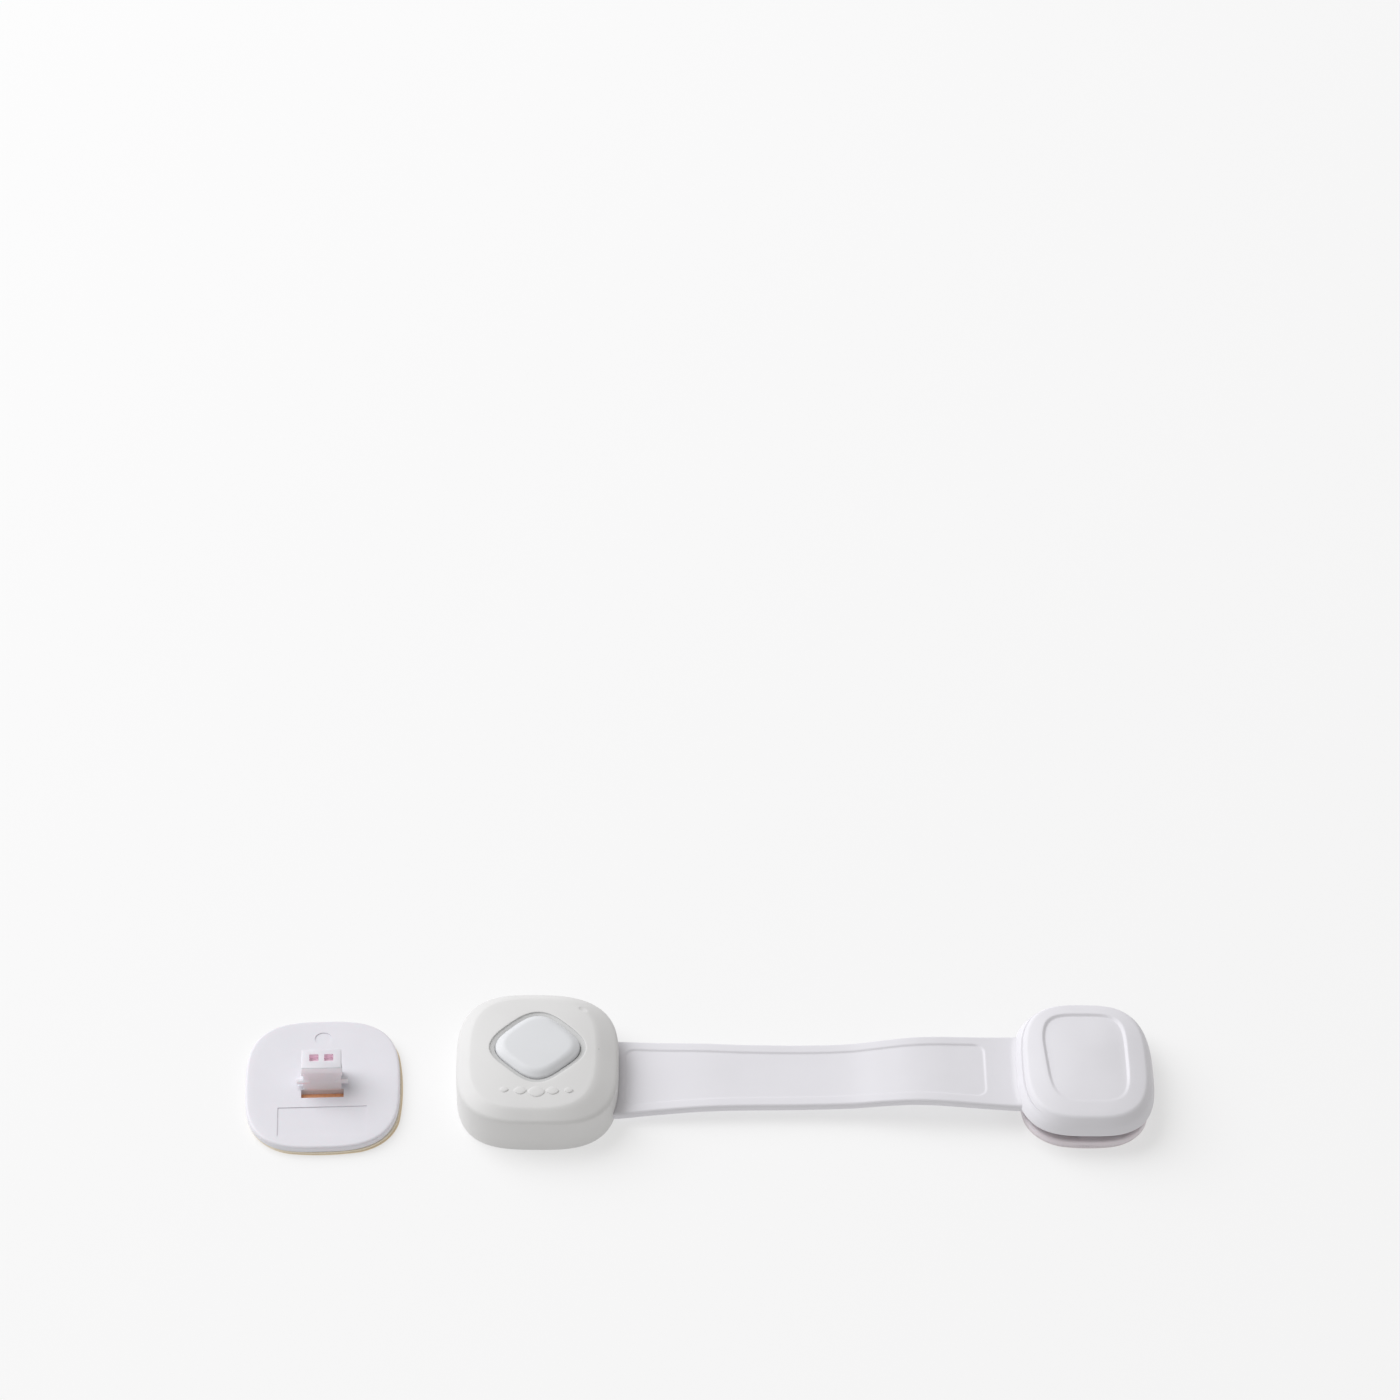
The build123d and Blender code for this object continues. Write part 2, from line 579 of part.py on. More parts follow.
with BuildPart() as end_cap:
    with BuildSketch(Plane.XY.offset(CAP_EDGE)):
        with Locations((CAP_X, CAP_Y)):
            add(cap_outline)
    extrude(amount=CAP_CROWN - CAP_EDGE, taper=CAP_BEVEL_ANGLE)
    with Locations((CAP_X, CAP_Y, CAP_CROWN - CAP_CROWN_R)):
        Sphere(CAP_CROWN_R, mode=Mode.INTERSECT)
    with BuildSketch(Plane.XY.offset(CAP_RIM)):
        with Locations((CAP_X, CAP_Y)):
            add(cap_outline)
    extrude(amount=CAP_EDGE - CAP_RIM)
    add(cap_panel.part, mode=Mode.SUBTRACT)
    with Locations((0, LOCK_Y, 0)):
        add(end_blank)
    with BuildSketch(Plane.XY.offset(CAP_RIM)):
        with Locations((CAP_X, CAP_Y)):
            add(cap_inside)
    extrude(amount=CAP_ROOF_UNDER - CAP_RIM, mode=Mode.SUBTRACT)
    with BuildSketch(Plane.XY.offset(INSERT_Z)):
        with Locations(*INSERT_SCREWS):
            Circle(SCREW_R + FIT)
    extrude(amount=INSERT_SCREW_DEPTH, mode=Mode.SUBTRACT)

with BuildPart() as cap_insert:
    with BuildSketch(Plane.XY.offset(INSERT_Z)):
        with Locations((CAP_X, LOCK_Y)):
            RectangleRounded(INSERT_W, INSERT_L, INSERT_CORNER)
            with GridLocations(1, 2 * EAR_Y, 1, 2):
                Rectangle(EAR_W + 2 * EAR_ROOM, EAR_T + 2 * EAR_ROOM, mode=Mode.SUBTRACT)
        with Locations(*INSERT_SCREWS):
            Circle(SCREW_R + FIT, mode=Mode.SUBTRACT)
    extrude(amount=CAP_ROOF_UNDER - INSERT_Z)
    with Locations((CAP_X, LOCK_Y, PIVOT_Z)):
        Cylinder(BARREL_R, 2 * (EAR_Y - EAR_ROOM) - EAR_T, rotation=(90, 0, 0))
        Cylinder(PIN_R + FIT, 2 * EAR_Y, rotation=(90, 0, 0), mode=Mode.SUBTRACT)

with BuildPart() as cap_insert_screws:
    with Locations(*[(x, y, INSERT_Z - SCREW_HEAD_T) for x, y in INSERT_SCREWS]):
        add(insert_screw)


# ---- anchor ------------------------------------------------------------------------------

with BuildPart() as anchor_plate:
    with BuildSketch(Plane.XY.offset(PAD_TOP)):
        with Locations((CAP_X, LOCK_Y)):
            add(anchor_outline)
    extrude(amount=ANCHOR_TOP - PAD_TOP)
    fillet(anchor_plate.faces().sort_by(Axis.Z)[-1].edges(), ANCHOR_EDGE_R)
    with BuildSketch(Plane.YZ.offset(CAP_X - EAR_W / 2)):
        for ear_y in (LOCK_Y - EAR_Y, LOCK_Y + EAR_Y):
            with Locations((ear_y, (ANCHOR_TOP + PIVOT_Z) / 2)):
                Rectangle(EAR_T, PIVOT_Z - ANCHOR_TOP)
    extrude(amount=EAR_W)
    with Locations(*[(CAP_X, LOCK_Y + y, PIVOT_Z) for y in (-EAR_Y, EAR_Y)]):
        Cylinder(EAR_W / 2, EAR_T, rotation=(90, 0, 0))
    with Locations((CAP_X, LOCK_Y, PIVOT_Z)):
        Cylinder(PIN_R, 2 * (EAR_Y + EAR_T), rotation=(90, 0, 0), mode=Mode.SUBTRACT)

with BuildPart() as pivot_pin:
    with Locations((CAP_X, LOCK_Y, PIVOT_Z)):
        Cylinder(PIN_R, 2 * EAR_Y + EAR_T, rotation=(90, 0, 0))

with BuildPart() as anchor_adhesive_foam:
    with BuildSketch(Plane.XY.offset(LINER_T)):
        with Locations((CAP_X, LOCK_Y)):
            add(anchor_outline)
    extrude(amount=FOAM_T)

with BuildPart() as anchor_release_liner:
    with BuildSketch():
        with Locations((CAP_X, LOCK_Y)):
            add(anchor_outline)
    extrude(amount=LINER_T)


# ---- labels and files --------------------------------------------------------------------

pieces = {
    "catch_plate": catch_plate,
    "catch_adhesive_foam": catch_adhesive_foam,
    "catch_release_liner": catch_release_liner,
    "housing_shell": housing_shell,
    "housing_base": housing_base,
    "housing_screws": housing_screws,
    "button_keeper": button_keeper,
    "keeper_screws": keeper_screws,
    "button_spring": button_spring,
    "latch_spring_left": latch_springs["left"],
    "latch_spring_right": latch_springs["right"],
    "strap_clamp": strap_clamp,
    "strap_clamp_screws": strap_clamp_screws,
    "strap_root": strap_root,
    "decoy_button": decoy_button,
    "latch_slider": latch_slider,
    "release_button": release_button,
    "strap_inner": strap_inner,
    "strap_outer": strap_outer,
    "end_cap": end_cap,
    "cap_insert": cap_insert,
    "cap_insert_screws": cap_insert_screws,
    "anchor_plate": anchor_plate,
    "pivot_pin": pivot_pin,
    "anchor_adhesive_foam": anchor_adhesive_foam,
    "anchor_release_liner": anchor_release_liner,
}
catch_axis = Axis((CATCH_X, CATCH_Y, 0), (0, 0, 1))

for name, piece in pieces.items():
    solid = piece.part
    if name.startswith("catch"):
        solid = solid.rotate(catch_axis, CATCH_TURN)
    solid.label = name
    export_step(solid, f"parts/{name}.step")
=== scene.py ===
"""Looks for the adhesive strap lock: soft moulded skins, one continuous strap and its materials."""

import math

import bmesh
import bpy
from mathutils import Matrix, Vector


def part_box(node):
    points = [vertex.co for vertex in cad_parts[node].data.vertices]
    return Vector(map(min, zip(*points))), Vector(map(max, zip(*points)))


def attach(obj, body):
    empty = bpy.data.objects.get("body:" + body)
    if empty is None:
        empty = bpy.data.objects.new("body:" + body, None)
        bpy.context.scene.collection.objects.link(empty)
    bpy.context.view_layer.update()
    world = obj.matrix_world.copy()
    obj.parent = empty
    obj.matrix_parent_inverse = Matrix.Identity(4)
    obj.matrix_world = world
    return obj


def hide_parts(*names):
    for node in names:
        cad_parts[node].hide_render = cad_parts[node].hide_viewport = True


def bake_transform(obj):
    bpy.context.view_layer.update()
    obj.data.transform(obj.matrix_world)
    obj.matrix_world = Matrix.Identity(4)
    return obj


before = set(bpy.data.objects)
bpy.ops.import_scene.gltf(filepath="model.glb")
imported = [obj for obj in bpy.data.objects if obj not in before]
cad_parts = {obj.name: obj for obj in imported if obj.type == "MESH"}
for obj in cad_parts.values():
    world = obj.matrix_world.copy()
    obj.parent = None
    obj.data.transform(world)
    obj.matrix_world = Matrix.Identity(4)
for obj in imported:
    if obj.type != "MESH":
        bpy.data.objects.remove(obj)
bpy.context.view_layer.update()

MM = 0.001  # lengths below are in millimetres and turned into metres when a mesh is made


# ---- places taken from the frame ---------------------------------------------------------


def middle(node):
    """The middle of a node's box, in millimetres."""
    low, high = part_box(node)
    return Vector([(a + b) / 2 / MM for a, b in zip(low, high)])


def size(node):
    """The size of a node's box, in millimetres."""
    low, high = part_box(node)
    return Vector([(b - a) / MM for a, b in zip(low, high)])


LOCK = middle("housing_shell")
LOCK_X, LOCK_Y = LOCK.x, LOCK.y
HOUSING_HALF = size("housing_shell") / 2
BUTTON = middle("decoy_button")
CATCH = middle("catch_plate")
CATCH_X, CATCH_Y = CATCH.x, CATCH.y
CATCH_HALF = Vector((24.6, 27.3))  # half the plate's size before it is turned
CATCH_TURN = math.radians(2.5)  # the loose catch lies a little turned
ANCHOR = middle("anchor_plate")
ANCHOR_HALF = size("anchor_plate") / 2
CAP_X = ANCHOR.x
CAP_Y = LOCK_Y + 0.4  # the cap stands a little further back than the strap


# ---- outlines and skins ------------------------------------------------------------------

AROUND = 224  # points round every ring
SQUARISH = 3.05  # power of the soft square outlines
SHARP_DEGREES = 32  # faces that meet at more than this make a crisp edge


def squircle(centre, half_x, half_y, power=SQUARISH, turn=0.0):
    """Points of a superellipse, at even angles, as (x, y) in millimetres."""
    points = []
    for k in range(AROUND):
        angle = 2 * math.pi * k / AROUND
        c, s = abs(math.cos(angle - turn)), abs(math.sin(angle - turn))
        radius = ((c / half_x) ** power + (s / half_y) ** power) ** (-1 / power)
        points.append((centre[0] + radius * math.cos(angle), centre[1] + radius * math.sin(angle)))
    return points


def diamond(centre, tip, power=3.2):
    """A soft square standing on its corner, whose tips reach tip from its centre."""
    half = tip / 2 ** (0.5 - 1 / power)
    return squircle(centre, half, half, power, math.pi / 4)


def circle(centre, radius):
    """Points of a circle."""
    return squircle(centre, radius, radius, 2.0)


def smoothstep(t):
    """A smooth step from 0 to 1 as t goes from 0 to 1."""
    t = max(0.0, min(1.0, t))
    return t * t * (3 - 2 * t)


def between(outline_a, outline_b, t):
    """An outline part of the way from one outline to another."""
    return [
        (ax + (bx - ax) * t, ay + (by - ay) * t)
        for (ax, ay), (bx, by) in zip(outline_a, outline_b)
    ]


def at_height(outline, z):
    """An outline as a ring of 3-D points; z is a number or a function of (x, y)."""
    return [Vector((x, y, z(x, y) if callable(z) else z)) for x, y in outline]


def rounded(profile, steps=6):
    """A profile of (inset, z, softness) points, with each corner turned into a small curve."""
    points = [Vector((p[0], p[1])) for p in profile]
    soft = [p[2] for p in profile]
    out = [points[0]]
    for i in range(1, len(points) - 1):
        here, before, after = points[i], points[i - 1], points[i + 1]
        if soft[i] <= 0:
            out.append(here)
            continue
        reach_in = min(soft[i], 0.48 * (before - here).length)
        reach_out = min(soft[i], 0.48 * (after - here).length)
        start = here + (before - here).normalized() * reach_in
        end = here + (after - here).normalized() * reach_out
        for k in range(steps + 1):
            t = k / steps
            out.append(start * (1 - t) ** 2 + here * 2 * t * (1 - t) + end * t**2)
    out.append(points[-1])
    return [(p.x, p.y) for p in out]


def skin(bm, rings, closed=False, start_pole=False, end_pole=False):
    """Quads between rings of points in millimetres; the ends can be joined or shut by a fan."""
    made = [[bm.verts.new(p * MM) for p in ring] for ring in rings]
    count = len(made[0])
    pairs = list(zip(made, made[1:]))
    if closed:
        pairs.append((made[-1], made[0]))
    for lower, upper in pairs:
        for k in range(count):
            n = (k + 1) % count
            bm.faces.new((lower[k], lower[n], upper[n], upper[k]))
    for wanted, ring in ((start_pole, made[0]), (end_pole, made[-1])):
        if wanted:
            pole = bm.verts.new(sum((v.co for v in ring), Vector()) / count)
            for k in range(count):
                bm.faces.new((ring[k], ring[(k + 1) % count], pole))
    bmesh.ops.recalc_face_normals(bm, faces=bm.faces)


def smooth_faces(mesh, sharp_degrees=SHARP_DEGREES):
    """Shade a mesh smoothly, with crisp edges where its faces meet at more than an angle."""
    mesh.shade_smooth()
    mesh.set_sharp_from_angle(angle=math.radians(sharp_degrees))


def make_object(name, bm, sharp_degrees=SHARP_DEGREES):
    """Turn a bmesh into an object with smooth faces."""
    mesh = bpy.data.meshes.new(name)
    bm.to_mesh(mesh)
    bm.free()
    smooth_faces(mesh, sharp_degrees)
    thing = bpy.data.objects.new(name, mesh)
    bpy.context.scene.collection.objects.link(thing)
    return thing


def block(name, centre, dims, soft=0.0):
    """A box of the given size in millimetres, with its edges rounded by soft."""
    bm = bmesh.new()
    bmesh.ops.create_cube(bm, size=1.0)
    bmesh.ops.scale(bm, vec=Vector(dims) * MM, verts=bm.verts)
    bmesh.ops.translate(bm, vec=Vector(centre) * MM, verts=bm.verts)
    if soft:
        bmesh.ops.bevel(
            bm, geom=bm.edges[:], offset=soft * MM, segments=4, profile=0.5, affect="EDGES"
        )
    return make_object(name, bm)


def prism(name, rings, soft=0.0):
    """A solid between two equal rings of points in millimetres, with softened edges."""
    bm = bmesh.new()
    made = [[bm.verts.new(p * MM) for p in ring] for ring in rings]
    count = len(made[0])
    for k in range(count):
        n = (k + 1) % count
        bm.faces.new((made[0][k], made[0][n], made[1][n], made[1][k]))
    bm.faces.new(made[0][::-1])
    bm.faces.new(made[1])
    bmesh.ops.recalc_face_normals(bm, faces=bm.faces)
    if soft:
        crisp = [e for e in bm.edges if e.calc_face_angle(0) > math.radians(30)]
        bmesh.ops.bevel(
            bm, geom=crisp, offset=soft * MM, segments=3, profile=0.5, affect="EDGES"
        )
    return make_object(name, bm)


def combine(target, tool, operation):
    """Cut or weld one object into another, and put the tool away."""
    change = target.modifiers.new("combine", "BOOLEAN")
    change.operation = operation
    change.object = tool
    change.solver = "EXACT"
    depsgraph = bpy.context.evaluated_depsgraph_get()
    mesh = bpy.data.meshes.new_from_object(target.evaluated_get(depsgraph))
    target.modifiers.clear()
    old = target.data
    target.data = mesh
    bpy.data.meshes.remove(old)
    bpy.data.objects.remove(tool)
    smooth_faces(mesh)


def join(target, others):
    """Put several objects' meshes into one object."""
    bm = bmesh.new()
    for thing in [target] + others:
        bm.from_mesh(thing.data)
    mesh = bpy.data.meshes.new(target.name)
    bm.to_mesh(mesh)
    bm.free()
    for thing in others:
        bpy.data.objects.remove(thing)
    target.data = mesh
    smooth_faces(mesh)
    return target


# ---- materials ---------------------------------------------------------------------------


def node_material(name):
    """A material with a Principled shader, its node tree and Object texture coordinates."""
    material = bpy.data.materials.new(name)
    material.use_nodes = True
    tree = material.node_tree
    shader = tree.nodes["Principled BSDF"]
    place = tree.nodes.new("ShaderNodeTexCoord").outputs["Object"]
    return material, tree, shader, place


def noise(tree, place, scale, detail=2.0, roughness=0.5):
    """A noise texture's value; scale is in cycles per metre."""
    node = tree.nodes.new("ShaderNodeTexNoise")
    node.inputs["Scale"].default_value = scale
    node.inputs["Detail"].default_value = detail
    node.inputs["Roughness"].default_value = roughness
    tree.links.new(place, node.inputs["Vector"])
    return node.outputs["Fac"]


def ramp(tree, value, low, high, start=0.0, end=1.0):
    """Colours, or greys, from low to high as value goes from start to end."""
    node = tree.nodes.new("ShaderNodeValToRGB")
    node.color_ramp.elements[0].position = start
    node.color_ramp.elements[0].color = (*low, 1)
    node.color_ramp.elements[1].position = end
    node.color_ramp.elements[1].color = (*high, 1)
    tree.links.new(value, node.inputs["Fac"])
    return node.outputs["Color"]


def bump(tree, shader, heights):
    """Chain bumps, each (value, strength, depth in millimetres), into the shader's normal."""
    last = None
    for value, strength, depth in heights:
        node = tree.nodes.new("ShaderNodeBump")
        node.inputs["Strength"].default_value = strength
        node.inputs["Distance"].default_value = depth * MM
        tree.links.new(value, node.inputs["Height"])
        if last:
            tree.links.new(last, node.inputs["Normal"])
        last = node.outputs["Normal"]
    tree.links.new(last, shader.inputs["Normal"])


def shade(colour, factor):
    """A colour made lighter or darker by a factor."""
    return tuple(min(1.0, c * factor) for c in colour)


def moulded_plastic(name, colour, rough, grain_depth=0.012, grain=2600, variation=0.02, glow=0.0):
    """Injection-moulded plastic: cloudy tone, spark-eroded grain, uneven sheen, faint waves."""
    material, tree, shader, place = node_material(name)
    clouds = noise(tree, place, 60, 3)
    tone = ramp(tree, clouds, shade(colour, 1 - variation), shade(colour, 1 + variation), 0.3, 0.7)
    tree.links.new(tone, shader.inputs["Base Color"])
    patches = noise(tree, place, 240, 4, 0.6)
    sheen = ramp(tree, patches, (rough - 0.05,) * 3, (rough + 0.06,) * 3, 0.3, 0.7)
    tree.links.new(sheen, shader.inputs["Roughness"])
    grain_value = noise(tree, place, grain, 2, 0.6)
    waves = noise(tree, place, 90, 1)
    bump(tree, shader, [(waves, 0.25, 0.05), (grain_value, 0.35, grain_depth)])
    shader.inputs["Specular IOR Level"].default_value = 0.4
    if glow:
        shader.inputs["Subsurface Weight"].default_value = glow
        shader.inputs["Subsurface Radius"].default_value = (0.004, 0.0028, 0.003)
        shader.inputs["Subsurface Scale"].default_value = 0.6
    return material


def foam_tape(name, edge_tone, heart_tone):
    """Foam pad: porous cells, and a sticky face whose tone deepens towards the pad's middle."""
    material, tree, shader, place = node_material(name)
    cells = tree.nodes.new("ShaderNodeTexVoronoi")
    cells.inputs["Scale"].default_value = 2800
    tree.links.new(place, cells.inputs["Vector"])
    pores = cells.outputs["Distance"]
    side = ramp(tree, pores, shade(edge_tone, 0.88), shade(edge_tone, 1.1), 0.05, 0.6)
    fibres = noise(tree, place, 900, 5, 0.7)
    heart = ramp(tree, fibres, shade(heart_tone, 0.9), shade(heart_tone, 1.1), 0.3, 0.7)
    away = tree.nodes.new("ShaderNodeVectorMath")
    away.operation = "DISTANCE"
    away.inputs[1].default_value = (CATCH_X * MM, (CATCH_Y - 4) * MM, MM)
    tree.links.new(place, away.inputs[0])
    reach = tree.nodes.new("ShaderNodeMapRange")
    reach.inputs["From Min"].default_value = 0.012
    reach.inputs["From Max"].default_value = 0.018
    tree.links.new(away.outputs["Value"], reach.inputs["Value"])
    mix = tree.nodes.new("ShaderNodeMix")
    mix.data_type = "RGBA"
    tree.links.new(reach.outputs["Result"], mix.inputs["Factor"])
    tree.links.new(heart, mix.inputs[6])
    tree.links.new(side, mix.inputs[7])
    tree.links.new(mix.outputs[2], shader.inputs["Base Color"])
    sheen = ramp(tree, fibres, (0.65,) * 3, (0.85,) * 3)
    tree.links.new(sheen, shader.inputs["Roughness"])
    bump(tree, shader, [(pores, 0.6, 0.08), (fibres, 0.3, 0.03)])
    return material


def paper_liner(name, tone):
    """Waxed paper liner, with fine fibres and a soft shine."""
    material, tree, shader, place = node_material(name)
    stretch = tree.nodes.new("ShaderNodeMapping")
    stretch.inputs["Scale"].default_value = (1.0, 4.0, 1.0)
    tree.links.new(place, stretch.inputs["Vector"])
    fibres = noise(tree, stretch.outputs["Vector"], 700, 6, 0.7)
    paper = ramp(tree, fibres, shade(tone, 0.9), shade(tone, 1.08), 0.3, 0.7)
    tree.links.new(paper, shader.inputs["Base Color"])
    sheen = ramp(tree, fibres, (0.38,) * 3, (0.55,) * 3)
    tree.links.new(sheen, shader.inputs["Roughness"])
    bump(tree, shader, [(fibres, 0.3, 0.02)])
    return material


def plated_steel(name):
    """Zinc-plated steel: drawn streaks, uneven brightness and small dull spots."""
    material, tree, shader, place = node_material(name)
    shader.inputs["Metallic"].default_value = 1.0
    stretch = tree.nodes.new("ShaderNodeMapping")
    stretch.inputs["Scale"].default_value = (1.0, 1.0, 0.15)
    tree.links.new(place, stretch.inputs["Vector"])
    streaks = noise(tree, stretch.outputs["Vector"], 3000, 3, 0.6)
    tone = ramp(tree, streaks, (0.52, 0.53, 0.55), (0.70, 0.71, 0.72), 0.3, 0.7)
    tree.links.new(tone, shader.inputs["Base Color"])
    spots = noise(tree, place, 500, 4, 0.6)
    sheen = ramp(tree, spots, (0.22,) * 3, (0.42,) * 3, 0.35, 0.7)
    tree.links.new(sheen, shader.inputs["Roughness"])
    bump(tree, shader, [(streaks, 0.2, 0.01)])
    return material


CATCH_WHITE = moulded_plastic("catch_plastic", (0.755, 0.745, 0.79), 0.38, 0.006, 1800, 0.012, 0.15)
# Painted bounce light: a lighter, pinker copy of the catch plastic for the tower's shaded front. It
# stands in for light thrown up from the tape and the plate.
CATCH_FRONT_PAINTED_BOUNCE = moulded_plastic("catch_front_painted_bounce", (0.97, 0.89, 0.96), 0.42, 0.006, 1800, 0.02, 0.5)
# Painted reflected light: a light rose tint for the insides of the head's windows. It stands in for
# the pink light reflected into these deep, shaded holes.
WINDOW_PAINTED_REFLECTION = moulded_plastic("catch_window_painted_reflection", (0.95, 0.77, 0.86), 0.45, 0.006, 1800, 0.02)
HOUSING_WHITE = moulded_plastic("housing_plastic", (0.715, 0.712, 0.708), 0.50, 0.014, 3200, 0.012)
# Painted shade: a darker grey copy of the housing plastic for the sunk ring round the button. It
# stands in for the shade in that groove.
RING_PAINTED_SHADE = moulded_plastic("button_ring_painted_shade", (0.575, 0.578, 0.575), 0.45, 0.010, 3200, 0.012)
BUTTON_WHITE = moulded_plastic("button_plastic", (0.715, 0.726, 0.745), 0.42, 0.008, 2600, 0.010)
STRAP_WHITE = moulded_plastic("strap_plastic", (0.755, 0.747, 0.783), 0.48, 0.010, 2600, 0.012)
ANCHOR_WHITE = moulded_plastic("anchor_plastic", (0.77, 0.71, 0.745), 0.36, 0.006, 1800, 0.015, 0.12)
INNER_PLASTIC = moulded_plastic("inner_plastic", (0.72, 0.72, 0.69), 0.40, 0.006, 1600, 0.02)
# The foam's beige edge tone and the liner's tone are lightened past the pads' own colour as painted
# light, so that their thin edge strips in the catch plate's shadow look lit. The foam's orange
# middle tone, seen through the catch's hole, is the sticky face's colour, lightened the same way as
# painted light.
FOAM = foam_tape("foam_tape", (0.80, 0.72, 0.58), (0.86, 0.42, 0.22))
LINER = paper_liner("paper_liner", (0.88, 0.74, 0.54))
PALE_FOAM = foam_tape("pale_foam_tape", (0.70, 0.65, 0.68), (0.70, 0.65, 0.68))
PALE_LINER = paper_liner("pale_paper_liner", (0.66, 0.60, 0.60))
STEEL = plated_steel("plated_steel")


def finish_piece(piece, body, material, replaced=()):
    """Give a new piece its material and slot, and make it ride on its body."""
    piece.data.materials.clear()
    piece.data.materials.append(material)
    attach(piece, body)
    if replaced:
        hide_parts(*replaced)


# ---- housing -----------------------------------------------------------------------------

WALL_T = 1.8
WALL_TOP = 12.7
BEVEL_IN, BEVEL_TOP = 4.2, 15.05
CROWN_RISE = 1.5
HOUSING_LEAN = 0.3  # how much wider the bevel is on the strap's side
BEVEL_DROP = 1.2  # how much lower the wall's top is on the strap's side
ROOF_UNDER, WELL_R, WELL_TOP = 12.0, 16.3, 13.5  # the roof's underside and the hollow above it
LEDGE_TIP, LEDGE_DEPTH, GAP_TIP = 15.3, 0.75, 13.64  # the sunk ring and the gap inside it
RING_REACH = 19.6  # how far the ring of painted shade can reach, as the sum of its two offsets
STRAP_SLOT_LOW, STRAP_SLOT_HIGH, STRAP_SLOT_W, STRAP_SLOT_DEEP = 1.3, 4.3, 31.5, 9.0
RELEASE_WINDOW = (14.3, 8.0, 4.7)
DIMPLE_X, DIMPLE_Y, DIMPLE_LIFT, DIMPLE_RADII = 15.2, 19.7, 0.47, (2.6, 1.9, 0.7)
MOTIF_SIZES = [(1.4, 1.1), (2.0, 1.5), (2.7, 2.0), (2.0, 1.5), (1.4, 1.1)]
MOTIF_PITCH, MOTIF_Y, MOTIF_BEND = 5.1, -17.3, 0.45


def housing_outline(inset, lean=HOUSING_LEAN):
    """The housing's outline; lean makes the inset larger on the side of the strap."""
    centre = (LOCK_X - lean * inset, LOCK_Y)
    return squircle(centre, HOUSING_HALF.x - (1 + lean) * inset, HOUSING_HALF.y - inset)


def housing_crown(x, y):
    """Height of the housing's gently domed top."""
    half_x = HOUSING_HALF.x - (1 + HOUSING_LEAN) * BEVEL_IN
    u = abs(x - LOCK_X + HOUSING_LEAN * BEVEL_IN) / half_x
    v = abs(y - LOCK_Y) / (HOUSING_HALF.y - BEVEL_IN)
    rho = (u**SQUARISH + v**SQUARISH) ** (1 / SQUARISH)
    return BEVEL_TOP + CROWN_RISE * (1 - min(rho, 1.2) ** 2)


def bevel_height(inset, z):
    """Height on the bevel and the wall's top, which sink a little towards the strap."""
    if z < WALL_TOP - 2:
        return z
    drop = BEVEL_DROP * (1 - inset / BEVEL_IN)
    return lambda x, y: z - drop * smoothstep((x - LOCK_X) / HOUSING_HALF.x)


def below_crown(depth):
    """A height function that stays a depth below the housing's top."""
    return lambda x, y: housing_crown(x, y) - depth


def build_housing():
    """The housing's shell: wall, soft bevel, domed top and the ledge round the button."""
    shoulder_in = BEVEL_IN + 1.2
    outside = rounded(
        [
            (0.15, 0.0, 0),
            (0.0, 0.4, 0.4),
            (0.0, WALL_TOP, 1.1),
            (BEVEL_IN, BEVEL_TOP, 1.1),
            (shoulder_in, BEVEL_TOP + 0.12, 0),
        ]
    )
    rings = [at_height(housing_outline(WALL_T, 0), 0.0)]
    rings += [at_height(housing_outline(i), bevel_height(i, z)) for i, z in outside[:-1]]
    button = (LOCK_X, BUTTON.y)
    shoulder = housing_outline(shoulder_in)
    rings.append(at_height(shoulder, housing_crown))
    rim = diamond(button, LEDGE_TIP + 0.5)
    for k in range(1, 8):
        rings.append(at_height(between(shoulder, rim, k / 7), housing_crown))
    ledge = [
        (LEDGE_TIP + 0.22, 0.02),
        (LEDGE_TIP + 0.08, 0.08),
        (LEDGE_TIP, 0.18),
        (LEDGE_TIP - 0.04, 0.32),
        (LEDGE_TIP - 0.14, 0.40),
        (LEDGE_TIP - 0.35, 0.46),
        (LEDGE_TIP - 0.70, 0.55),
        (GAP_TIP + 0.12, LEDGE_DEPTH),
        (GAP_TIP + 0.03, LEDGE_DEPTH + 0.05),
        (GAP_TIP, LEDGE_DEPTH + 0.18),
    ]
    for tip, depth in ledge:
        rings.append(at_height(diamond(button, tip), below_crown(depth)))
    rings.append(at_height(diamond(button, GAP_TIP), WELL_TOP))
    rings.append(at_height(circle(button, WELL_R), WELL_TOP))
    rings.append(at_height(circle(button, WELL_R), ROOF_UNDER))
    rings.append(at_height(housing_outline(WALL_T, 0), ROOF_UNDER))
    bm = bmesh.new()
    skin(bm, rings, closed=True)
    shell = make_object("housing_cover", bm)
    slot = block(
        "slot",
        (LOCK_X + HOUSING_HALF.x, LOCK_Y, (STRAP_SLOT_LOW + STRAP_SLOT_HIGH) / 2),
        (STRAP_SLOT_DEEP, STRAP_SLOT_W, STRAP_SLOT_HIGH - STRAP_SLOT_LOW),
    )
    combine(shell, slot, "DIFFERENCE")
    low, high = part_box("release_button")
    window_middle = ((low[0] + high[0]) / 2 / MM, high[1] / MM, (low[2] + high[2]) / 2 / MM)
    combine(shell, block("window", window_middle, RELEASE_WINDOW), "DIFFERENCE")
    return shell


def press_dimple(shell):
    """A shallow oval dimple at the back right of the shell's top."""
    x, y = LOCK_X + DIMPLE_X, LOCK_Y + DIMPLE_Y
    centre = Vector((x, y, housing_crown(x, y) + DIMPLE_LIFT))
    ball = bmesh.new()
    bmesh.ops.create_uvsphere(ball, u_segments=48, v_segments=32, radius=MM)
    bmesh.ops.scale(ball, vec=DIMPLE_RADII, verts=ball.verts)
    bmesh.ops.translate(ball, vec=centre * MM, verts=ball.verts)
    combine(shell, make_object("dimple", ball), "DIFFERENCE")


